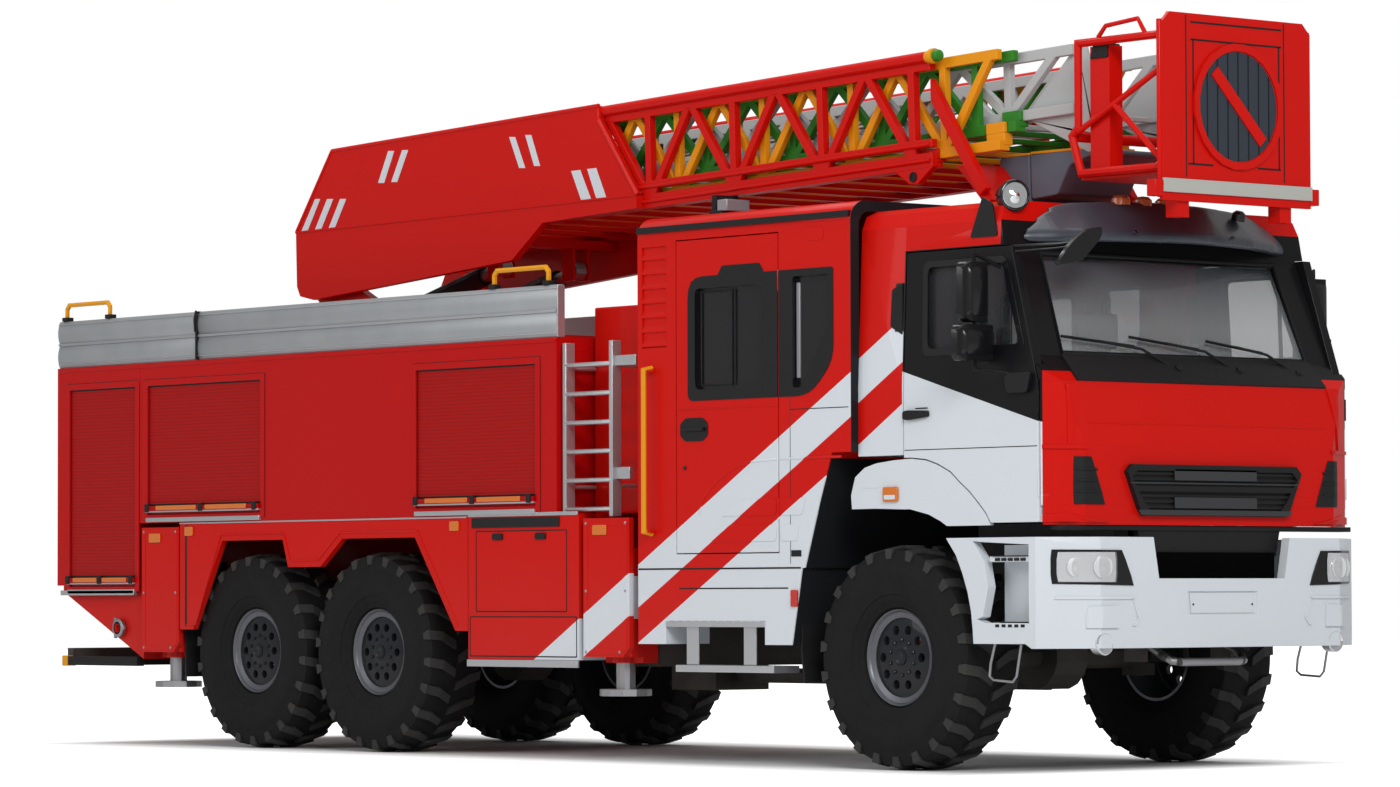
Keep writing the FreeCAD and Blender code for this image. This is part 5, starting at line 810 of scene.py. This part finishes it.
dress(white_paint, "bumper", edge=0.02, segments=3, angle=18)
lamp_glass = plain("lamp_glass", (0.45, 0.47, 0.49), 0.05, coat=0.3, spread=0.03).feed(Alpha=0.18)
surround, bowls, covers, filler = Work(), Work(), Work(), Work()
for s in (-1, 1):
    hug(surround, bumper_face, ((1.165, 1.028), (0.683, 1.018), (1.165, 1.213), (0.773, 1.210)),
        0.006, s, 0.012, 16, 4)
    hug(covers, bumper_face, ((1.143, 1.037), (0.823, 1.035), (1.143, 1.20), (0.823, 1.20)),
        0.0155, s, 0.02, 16, 4, back=-0.014)
    hug(bowls, bumper_face, ((1.14, 1.04), (0.826, 1.038), (1.14, 1.198), (0.826, 1.198)),
        0.0075, s, 0.02, 16, 4, back=0.0)
    for y, r, aim in ((1.05, 0.052, (0.94, s * 0.34, 0)), (0.92, 0.062, (1, s * 0.1, 0))):
        bowl = [(0.006, r), (0.013, r), (0.012, r * 0.85), (0.008, r * 0.35), (0.013, 0.008)]
        bowls.turn(bowl, (bumper_face(y, 0) - 0.002, s * y, 1.118), aim, 24)
    filler.block((1.356, 1.3782), (s * 0.545, s * 0.70), (1.05, 1.225))
    filler.block((1.356, 1.3775), (s * 0.69, s * 0.935), (1.05, 1.225))
surround.done("headlamp_surrounds", gloss_black, 0.001)
reflector = plain("reflector", (0.86, 0.87, 0.88), 0.22, 0.5, spread=0.06)
headlamps = bowls.done("headlamp_bowls", reflector)
covers.done("headlamp_covers", lamp_glass)
filler.done("bumper_filler", white_paint)
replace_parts(headlamps, "lamps")
# Ledges and fog lamp pads of the moulding: corners, lift, and the sharpness, columns and rows of the plate.
ridges = ((((1.15, 0.945), (0.69, 0.945), (1.15, 0.96), (0.69, 0.96)), 0.009, (0.0, 14, 1)),
          (((0.70, 0.80), (0.675, 0.80), (0.655, 0.845), (0.64, 0.845)), 0.009, (0.0, 3, 1)),
          (((0.66, 0.845), (0.645, 0.845), (0.70, 0.95), (0.685, 0.95)), 0.009, (0.0, 3, 2)),
          (((1.01, 0.79), (0.805, 0.79), (1.0, 0.905), (0.81, 0.912)), 0.014, (0.02, 8, 3)))
moulding = Work()
for s in (-1, 1):
    for corners, lift, shape in ridges:
        hug(moulding, bumper_face, corners, lift, s, *shape)
number_plate = ((-0.245, 0.868), (0.245, 0.868), (-0.255, 0.978), (0.255, 0.978))
hug(moulding, bumper_face, number_plate, -0.003, count=6)
moulding.done("bumper_moulding", white_paint, 0.004)
# Near-black blocks low across the bumper and in the opening to the radiator are painted shade; the two small
# studs sit on the number plate.
shade_and_screws = Work()
shade_and_screws.block((1.05, 1.31), (-1.0, 1.0), (0.70, 0.80))
shade_and_screws.block((1.2, 1.30), (-0.49, 0.49), (1.05, 1.20))
for y in (-0.23, 0.23):
    shade_and_screws.turn([(0.0, 0.006), (0.004, 0.006)], (1.376, y, 0.915), (1, 0, 0), 10)
shade_black = plain("shade_black", (0.0015, 0.0015, 0.0015), 0.9).feed(Specular_IOR_Level=0.02)
shade_and_screws.done("bumper_shade_and_screws", shade_black, 0.004)
fog_profile = [(-0.06, 0.03), (-0.03, 0.058), (0.03, 0.062), (0.034, 0.055), (0.012, 0.02), (0.01, 0.0)]
guard_line = [(0.833, 0.706), (0.796, 0.598), (0.788, 0.53), (0.82, 0.508), (0.97, 0.500), (1.0, 0.53),
              (1.037, 0.70)]
tow_half = [(1.05, 0.306, 0.72), (1.19, 0.306, 0.65), (1.26, 0.28, 0.605), (1.285, 0.22, 0.6)]
fogs, wires = Work(), Work()
for s in (-1, 1):
    fogs.turn(fog_profile, (1.345, s * 0.90, 0.705), (1, 0, 0), 28)
    fogs.turn([(0.0, 0.012), (0.05, 0.012)], (1.31, s * 0.90, 0.745), (0, 0, 1), 10)
    wires.tube([(x, s * cab_flank, z) for x, z in guard_line], 0.007, 8)
fogs.done("fog_lamps", chrome)
wires.tube([(x, -y, z) for x, y, z in tow_half] + tow_half[::-1], 0.0225, 12)
wires.done("wire_guards", jack_steel)
treads = Work()
for s in (-1, 1):
    for z in (1.149, 0.791):
        treads.block((0.84, 1.12), (s * 1.232, s * 1.1), (z + 0.029, z + 0.034))
        for k in range(5):
            treads.block((0.87 + k * 0.05, 0.90 + k * 0.05), (s * 1.236, s * 1.11), (z + 0.004, z + 0.02))
treads.done("bumper_step_treads", matt_black, 0.002)
tail = Work()
for s in (-1, 1):
    tail.sheet_x(oblong(s * 1.03, s * 1.15, 1.20, 1.35, 0.02), -8.388, -8.355)
tail.done("tail_lamps", plain("tail_lens", (0.5, 0.015, 0.01), 0.2, coat=0.4), 0.006)


# Seats: dark woven cloth over foam, two chairs and a bench, each with a crowned cushion and back.
# The covers are sewn from panels, so each cushion swells between its piped edges and its channels.
cloth = Finish("seat_cloth", (0.025, 0.027, 0.032), 0.9)
x, y, z = cloth.place()
thread = 0.004
weave = abs(((x / thread) % 1.0) - 0.5) + abs(((y / thread) % 1.0) - 0.5)
cloth.feed(Base_Color=cloth.blend(cloth.grain(25.0), (0.017, 0.018, 0.022), (0.042, 0.045, 0.055)),
           Roughness=cloth.grain(50.0) * 0.2 + 0.75)
cloth.bump(weave + cloth.grain(400.0), 0.4, 0.0012)
cells = 28


def cushion(name, x, y, z, channels, up_axis, crown=0.35):
    """A padded block: corners drawn in, the two wide faces crowned, and sewn channels across it."""
    work = Work()
    low = [x[0], y[0], z[0]]
    size = [b - a for a, b in (x, y, z)]
    across, along = (i for i in range(3) if i != up_axis)
    grid = {}
    for face in (0, 1):
        for i in range(cells + 1):
            for j in range(cells + 1):
                u, v = i / cells * 2 - 1, j / cells * 2 - 1
                edge = min(1.0, (1 - abs(u) ** 8) * (1 - abs(v) ** 8) * 3.0)
                swell = (1 - u * u) ** 0.5 * (1 - v * v) ** 0.5 if abs(u) < 1 and abs(v) < 1 else 0.0
                seam = sum(math.exp(-((v - c) / 0.03) ** 2) for c in channels)
                thick = 0.5 * (0.62 * edge ** 0.5 + 0.38 * swell) * (1 - crown * min(1.0, seam))
                narrow = 1 - 0.02 * (1 - v * v) * (abs(u) > 0.9)
                pull = 1 - 0.02 * (1 - abs(v) ** 2) * abs(u) ** 3
                p = [0.0, 0.0, 0.0]
                p[across] = low[across] + size[across] * (0.5 + 0.5 * u * narrow)
                p[along] = low[along] + size[along] * (0.5 + 0.5 * v * pull)
                p[up_axis] = low[up_axis] + size[up_axis] * (0.5 + (thick if face else -thick))
                grid[face, i, j] = work.point(*p)
    for face, i, j in [key for key in grid if key[1] < cells and key[2] < cells]:
        corners = ((i, j), (i + 1, j), (i + 1, j + 1), (i, j + 1))
        work.bm.faces.new([grid[(face, *corner)] for corner in corners])
    bmesh.ops.remove_doubles(work.bm, verts=work.bm.verts[:], dist=0.0005)
    made = work.done(name, cloth)
    smooth = made.modifiers.new("smooth", "SUBSURF")
    smooth.levels = smooth.render_levels = 1
    return made


pads = []
sewn = (-0.45, 0.45)
for tag, y in (("driver", 0.48), ("officer", -0.48)):
    pads.append(cushion("cushion_" + tag, (-0.02, 0.478), about(y, 0.255), (1.835, 1.957), sewn, 2))
    pads.append(cushion("back_" + tag, (-0.148, -0.022), about(y, 0.25), (1.84, 2.36), sewn, 0))
    pads.append(cushion("headrest_" + tag, (-0.14, -0.03), about(y, 0.14), (2.385, 2.595), (), 0, 0.0))
sewn = (-0.4, 0.4)
for k, y in enumerate(((-1.035, -0.352), (-0.342, 0.342), (0.352, 1.035))):
    pads.append(cushion("bench_cushion_%d" % k, (-1.648, -1.152), y, (1.435, 1.557), sewn, 2))
    pads.append(cushion("bench_back_%d" % k, (-1.778, -1.652), y, (1.44, 2.19), sewn, 0))
for pad in pads:
    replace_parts(pad, "seats")


# Equipment body: red sheet steel, with slatted roller shutters in raised frames and grey bulged parapets.
# Each shutter's foot rail is alloy with two amber strips, and dark latches sit at its ends.
body_paint = painted("body_paint", deep_red, 0.32, 0.08, 0.1)
dress(body_paint, "equipment_body", edge=0.006)
dress(painted("cabinet_paint", red, 0.32, 0.08, 0.1), "cabinet", edge=0.01)
shutter_paint = painted("shutter_paint", (0.36, 0.0025, 0.002), 0.4, 0.05, 0.1)
slat_height = 0.022
x, y, z = shutter_paint.place()
slat = abs(((z / slat_height) % 1.0) - 0.5)
shutter_paint.bump(slat, 0.8, 0.005)
shutter_paint.over((slat < 0.08) * 0.45, (0.08, 0.001, 0.001))
dress(shutter_paint, "shutters")
parapet_metal = plain("parapet_metal", (0.33, 0.345, 0.36), 0.4, 0.45)
parapet_tone = parapet_metal.blend(parapet_metal.grain(4.0), (0.30, 0.315, 0.33), (0.40, 0.415, 0.43))
parapet_metal.feed(Roughness=parapet_metal.grain(6.0, 3.0, (1, 1, 12)) * 0.2 + 0.3, Base_Color=parapet_tone)
dress(parapet_metal, "parapets", edge=0.004)
bays = ((-8.222, -7.405, 1.03), (-7.286, -5.971, 1.5), (-4.334, -3.115, 1.5))
frames, rails, strips, latches, shutter_gaps = Work(), Work(), Work(), Work(), Work()
for x0, x1, z0 in bays:
    run = x1 - x0
    opening = oblong(x0 + 0.012, x1 - 0.012, z0 + 0.012, 2.365, 0.01)
    frame_y(frames, oblong(x0 - 0.03, x1 + 0.03, z0 - 0.02, 2.405, 0.01), opening, -1.242, -1.257)
    rails.block((x0 + 0.01, x1 - 0.01), (-1.277, -1.24), (z0 + 0.028, z0 + 0.038))
    rails.block((x0 + 0.01, x1 - 0.01), (-1.268, -1.24), (z0 - 0.035, z0 - 0.006))
    for a, b in ((0.11, 0.46), (0.54, 0.89)):
        strips.block((x0 + run * a, x0 + run * b), (-1.281, -1.27), (z0 + 0.042, z0 + 0.072))
    for a in (0.03, 0.5, 0.96):
        latches.block(about(x0 + run * a, 0.02), (-1.285, -1.255), (z0 + 0.03, z0 + 0.085))
    latches.block((x0 + 0.012, x1 - 0.012), (-1.262, -1.241), (z0 + 0.03, z0 + 0.07))
    gap(shutter_gaps, x0 + 0.012, x1 - 0.012, z0 + 0.075, 2.365, -1.2425, 0.01)
    gap(shutter_gaps, x0 - 0.034, x1 + 0.034, z0 - 0.02, 2.409, wide=0.004)
frames.block((-8.355, -2.935), (-1.256, -1.248), (2.488, 2.51))
frames.block((-7.39, -7.375), (-1.254, -1.248), (1.02, 2.49))
latches.block((-6.712, -6.698), (-1.262, -1.2), (2.52, 2.836))
latches.tube([(-6.71, -1.262, 2.70), (-6.70, -1.275, 2.78), (-6.70, -1.262, 2.84)], 0.008, 6)
for x in (-8.29, -7.77, -3.57, -3.04):
    latches.block(about(x, 0.03), (-1.245, -1.19), (2.834, 2.862))
shutter_gaps.mirror().done("shutter_gaps", matt_black)
frames.mirror().done("shutter_frames", body_paint, 0.003)
rails.mirror().done("shutter_rails", alloy, 0.002)
strips.mirror().done("shutter_strips", amber, 0.003)
latches.mirror().done("shutter_latches", matt_black, 0.003)
ribs = Work()
for z in (2.545, 2.672, 2.68, 2.812):
    ribs.block((-8.355, -2.935), (-1.25, -1.225), about(z, 0.004))
ribs.block((-2.932, -2.92), (-1.245, -1.19), (2.52, 2.83))
ribs.mirror().done("parapet_ribs", alloy, 0.002)
rear_ledge = Work().block((-8.3, -7.42), (-1.268, -1.24), (0.985, 1.018))
rear_ledge.mirror().done("rear_ledge", alloy, 0.003)
rear_doors = Work()
for s in (-1, 1):
    outer = oblong(s * 0.03, s * 1.0, 1.12, 2.42, 0.03)
    inner = oblong(s * 0.045, s * 0.985, 1.135, 2.405, 0.03)
    lines = ((outer, -8.36), (outer, -8.366), (inner, -8.366), (inner, -8.36))
    rear_doors.skin([[(x, y, z) for y, z in line] for line, x in lines], closed=True)
    rear_doors.block((-8.375, -8.36), (s * 0.10, s * 0.22), (1.72, 1.78))
rear_doors.done("rear_doors", body_paint, 0.003)

# Access ladder: two box stiles with round treads between them, braced back to the cabinet by short arms.
# It is aluminium, welded, and each step is a pair of tubes.
stile_x = (-2.885, -2.445)
stairs = Work()
for x in stile_x:
    stairs.block(about(x, 0.016), (-1.225, -1.155), (1.44, 2.48))
    for z in (1.62, 2.33):
        stairs.tube([(x, -1.16, z), (x, -0.985, z)], 0.013, 8)
for k in range(6):
    for y in (-1.212, -1.172):
        stairs.tube([(x, y, 1.485 + k * 0.172) for x in stile_x], 0.014, 10)
stairs.block((-2.44, -2.24), (-1.2, -1.175), (2.33, 2.39))
stairs.block((-2.44, -2.3), (-1.2, -1.175), (1.66, 1.73))
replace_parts(stairs.done("access_ladder_dressed", alloy, 0.003), "access_ladder")


# Turntable and ladder: a red base section, and yellow, green and grey inner ones, all welded from box tube.
# White dashes are painted on the cover plates, and a round tube along each upper edge ends in a ringed cap.
ladder_red = painted("ladder_red_paint", red, 0.3, 0.08, 0.0)
ladder_yellow = painted("ladder_yellow_paint", (0.72, 0.28, 0.008), 0.35, 0.1, 0.0)
ladder_green = painted("ladder_green_paint", (0.03, 0.20, 0.02), 0.35, 0.1, 0.0)
ladder_grey = painted("ladder_grey_paint", (0.42, 0.44, 0.44), 0.35, 0.1, 0.0)
slate = (0.12, 0.15, 0.19)
nose_grey = painted("nose_grey_paint", slate, 0.35, 0.1, 0.0)
base_paint = painted("base_section_paint", red, 0.3, 0.08, 0.0)
x, y, z = base_paint.place()
base_paint.over((x > -0.1) * (x < 0.2) * (abs(y) < 0.281) * (z < 3.47), slate)
dress(frame_black, "ram_barrels")
dress(jack_steel, "ram_rods")
dress(base_paint, "ladder_red", edge=0.006)
dress(ladder_red, "lifting_frame", "turntable", edge=0.008)
dress(ladder_yellow, "ladder_yellow", edge=0.005)
dress(ladder_green, "ladder_green", edge=0.005)
dress(ladder_grey, "ladder_grey", edge=0.005)
tilt = math.radians(1.9)
rise, run = math.sin(tilt), math.cos(tilt)


def along(u, v, y=0.0):
    """A place on the ladder: u along it from its pivot, v across it, and y to the side."""
    return -6.28 + u * run - v * rise, y, 3.03 + u * rise + v * run


dashes = [[(-6.377, 3.362), (-6.31, 3.358), (-6.164, 3.566), (-6.22, 3.569)],
          [(-6.232, 3.354), (-6.165, 3.35), (-6.02, 3.557), (-6.087, 3.561)],
          [(-6.087, 3.346), (-6.02, 3.342), (-5.877, 3.549), (-5.943, 3.553)],
          [(-5.528, 3.631), (-5.463, 3.627), (-5.355, 3.826), (-5.419, 3.83)],
          [(-5.387, 3.628), (-5.323, 3.624), (-5.205, 3.822), (-5.269, 3.826)],
          [(-4.053, 3.632), (-3.992, 3.628), (-4.093, 3.828), (-4.154, 3.833)],
          [(-3.902, 3.635), (-3.842, 3.631), (-3.931, 3.83), (-3.992, 3.834)],
          [(-3.427, 3.377), (-3.329, 3.377), (-3.445, 3.581), (-3.534, 3.58)],
          [(-3.28, 3.38), (-3.183, 3.381), (-3.289, 3.583), (-3.377, 3.582)]]
marks = Work()
for dash in dashes:
    marks.sheet_y(dash, -0.6515, -0.648)
marks.mirror().done("white_dashes", white_paint, body="ladder_base")
edges = Work()
for s in (-1, 1):
    lip = [along(-0.14, 0.335), along(3.385, 0.252)]
    edges.skin([[(x, s * 0.6615, z + 0.006), (x, s * 0.645, z + 0.006), (x, s * 0.645, z - 0.006),
                 (x, s * 0.6615, z - 0.006)] for x, y, z in lip])
    for start, end, y, r, sides in (
            ((0.27, 0.833), (3.04, 0.833), 0.645, 0.014, 8), ((-0.14, 0.34), (0.27, 0.833), 0.645, 0.014, 8),
            ((3.39, 0.256), (3.04, 0.74), 0.645, 0.014, 8), ((3.04, 0.80), (5.97, 0.80), 0.60, 0.034, 12),
            ((3.3, 0.30), (5.97, 0.30), 0.604, 0.012, 8), ((3.3, 0.21), (5.97, 0.21), 0.604, 0.012, 8)):
        edges.tube([along(*start, s * y), along(*end, s * y)], r, sides)
edges.done("base_section_tubes", ladder_red, body="ladder_base")
ring = [(0.0, 0.036), (0.03, 0.036), (0.03, 0.044), (0.06, 0.044), (0.06, 0.03)]
caps, knobs, eyes = Work(), Work(), Work()
for s in (-1, 1):
    end = along(5.97, 0.80, s * 0.6)
    caps.turn(ring, end, (run, 0, rise), 20)
    knobs.turn([(0.06, 0.03), (0.08, 0.036), (0.1, 0.03), (0.11, 0.0)], end, (run, 0, rise), 20)
    eye = along(5.82, 0.128, s * 0.6)
    eyes.turn([(0.0, 0.022), (s * 0.006, 0.022), (s * 0.006, 0.03), (0.0, 0.03)], eye, sides=20, closed=True)
    eyes.turn([(-0.001, 0.022), (s * 0.002, 0.022)], eye, sides=20)
caps.done("end_rings", rail_yellow, body="ladder_base")
knobs.done("end_knobs", ladder_green, body="ladder_base")
eyes.done("eye_rings", matt_black, body="ladder_base")
tip = [(0.17, 3.20), (0.38, 3.215), (0.48, 3.375), (0.67, 3.425), (0.66, 3.462), (0.16, 3.455)]
housing = Work().sheet_y(rounded(tip, 0.02), -0.28, 0.28)
housing.done("tip_housing", nose_grey, 0.008, "ladder_fourth", 3)
tip_edge, nose_edge = Work(), Work()
for s in (-1, 1):
    tip_edge.block((0.165, 0.66), (s * 0.27, s * 0.284), (3.455, 3.469))
    nose_edge.block((-0.085, 0.155), (s * 0.27, s * 0.285), (3.452, 3.464))
tip_edge.done("tip_housing_edge", rail_yellow, 0.002, "ladder_fourth")
nose_edge.done("nose_edge", rail_yellow, 0.002, "ladder_base")
rods = Work()
for y in (-0.36, 0.36, -0.22, 0.22):
    for v in (0.45, 0.52):
        rods.tube([along(0.9, v, y), along(5.9, v, y)], 0.009, 6)
rods.done("extension_rods", jack_steel, body="ladder_fourth")
rest = Work()
rest.block((-2.11, -1.99), (-0.75, -0.55), (3.182, 3.245))
rest.block((-2.09, -2.05), (-0.74, -0.56), (3.24, 3.34))
rest.done("ladder_rest", matt_black, 0.005)
Work().block((-2.04, -1.95), (-0.74, -0.56), (3.24, 3.31)).done("ladder_rest_pad", strip_grey, 0.006)


# Basket: red tube and sheet, with the round hatch's dark disc behind a slanting bar, and a grey kick strip.
# The panel's folds are pressed in, and drawn here as thin black strips of painted shade; the hatch is ribbed,
# and the rails round it are bent tube.
hatch_z = 3.64
basket_paint = painted("basket_paint", red, 0.3, 0.08, 0.0)
x, y, z = basket_paint.place()
from_hatch = z - hatch_z
slanted = abs(y + from_hatch) < 0.052
disc = (y * y + from_hatch * from_hatch < 0.0915) * (x > 1.505) * (1 - slanted * (x > 1.521))
basket_paint.over(disc, (0.035, 0.042, 0.055))
basket_paint.over((z > 3.149) * (z < 3.226) * (x > 1.5125), (0.40, 0.40, 0.37))
dress(basket_paint, "basket", edge=0.005)
# Thin black strips along the panel's folds are painted shade in the creases.
crease_shade = Work()
for y in (-0.395, 0.37):
    crease_shade.block((1.511, 1.5135), about(y, 0.004), (3.24, 4.12))
for z, y0, y1 in ((4.085, -0.36, 0.35), (3.99, -0.36, 0.35), (3.31, -0.38, -0.19), (3.31, 0.16, 0.34)):
    crease_shade.block((1.511, 1.514), (y0, y1), about(z, 0.005))
for y in (-0.34, 0.33):
    crease_shade.block((1.511, 1.514), about(y, 0.005), (3.31, 3.99))
crease_shade.done("basket_crease_shade", matt_black, body="basket_body")
hatch_bars = Work()
for k in range(7):
    y = -0.24 + 0.08 * k
    hatch_bars.block((1.519, 1.5225), about(y, 0.004), about(hatch_z, math.sqrt(0.3 ** 2 - y * y)))
hatch_bars.done("hatch_ribs", matt_black, body="basket_body")
lips = Work()
for s in (-1, 1):
    lips.block((1.45, 1.52), (s * 0.575, s * 0.64), (3.125, 3.215))
    lips.tube([(1.49, s * 0.578, 3.12), (1.49, s * 0.578, 4.09)], 0.016, 8)
lips.tube([(1.49, -0.52, 4.122), (1.49, 0.52, 4.122)], 0.014, 8)
for y in (-0.55, 0.55):
    lips.tube([(0.99, y, 4.03), (1.05, y, 4.09), (1.3, y, 4.11), (1.36, y, 4.02)], 0.014, 8)
lips.done("basket_lips", ladder_red, 0.004, "basket_body")
console = rounded([(0.90, 3.92), (1.04, 3.92), (1.04, 4.0), (0.93, 4.0)], 0.01)
Work().sheet_y(console, -0.53, -0.43).done("basket_controls", matt_black, 0.004, "basket_body")


# Studio: a pale floor and backdrop, and soft lamps.
# The floor glows white away from the vehicle, so that it runs into the backdrop as in the photograph.
ground = Work().block((-60.0, 60.0), (-60.0, 60.0), (-0.02, 0.0)).piece("floor")
pale = Finish("floor_pale", (0.8, 0.8, 0.8), 0.8)
x, y, z = pale.place()
edge_out = ((abs(x + 3.6) - 4.2) * 1.5) | (abs(y) - 1.2)
away = pale.ramp(edge_out, -0.2, 1.2, kind="SMOOTHSTEP")
glow = pale.blend(away * pale.looked_at(), (0.0, 0.0, 0.0), (1.0, 1.0, 1.0))
pale.feed(Roughness=pale.grain(2.0) * 0.1 + 0.75, Emission_Color=glow, Emission_Strength=1.0)
ground.data.materials.append(pale.material)
world = bpy.data.worlds.new("studio")
bpy.context.scene.world = world
sky = Shading(world, "BACKGROUND")
ambient, backdrop = 0.42, 1.0
strength = sky.node("ShaderNodeMix", {}, {0: sky.looked_at(), 2: ambient, 3: backdrop})
sky.feed(Strength=strength, Color=(1, 1, 1, 1))


def lamp(name, place, aim, size, power):
    data = bpy.data.lights.new(name, "AREA")
    data.shape, data.size, data.size_y, data.energy = "RECTANGLE", size[0], size[1], power
    made = bpy.data.objects.new(name, data)
    made.location = place
    made.rotation_mode = "QUATERNION"
    made.rotation_quaternion = (Vector(aim) - Vector(place)).to_track_quat("-Z", "Y")
    bpy.context.scene.collection.objects.link(made)


lamp("key", (19, -10, 11), (1, 0, 1.6), (9, 6), 2250)
lamp("side", (-5, -20, 9), (-1.5, 0, 1.4), (14, 7), 1000)
lamp("over", (0, 0, 15), (0, 0, 0), (16, 8), 1100)

# The camera stands where the photograph was taken from, and its focal length is in the photograph's pixels.
# Its axes come from the compass turn, the lift and the roll that were solved for it.
eye = Vector((21.56664 + reach, -20.64354, 0.97581))
azimuth, lift, roll = 0.87365, 0.03844, -0.00309
focal_pixels, photo_width, sensor = 5233.19, 1400, 36
ahead = Vector((-math.sin(azimuth) * math.cos(lift), math.cos(azimuth) * math.cos(lift), math.sin(lift)))
right = Vector((math.cos(azimuth), math.sin(azimuth), 0.0))
up = right.cross(ahead)
turned_right = right * math.cos(roll) + up * math.sin(roll)
turned_up = up * math.cos(roll) - right * math.sin(roll)
optics = bpy.data.cameras.new("camera")
optics.lens, optics.sensor_width, optics.clip_end = focal_pixels * sensor / photo_width, sensor, 300
camera = bpy.data.objects.new("camera", optics)
camera.matrix_world = Matrix((turned_right, turned_up, -ahead)).transposed().to_4x4()
camera.location = eye
bpy.context.scene.collection.objects.link(camera)
bpy.context.scene.camera = camera
bpy.context.scene.view_settings.view_transform = "Standard"
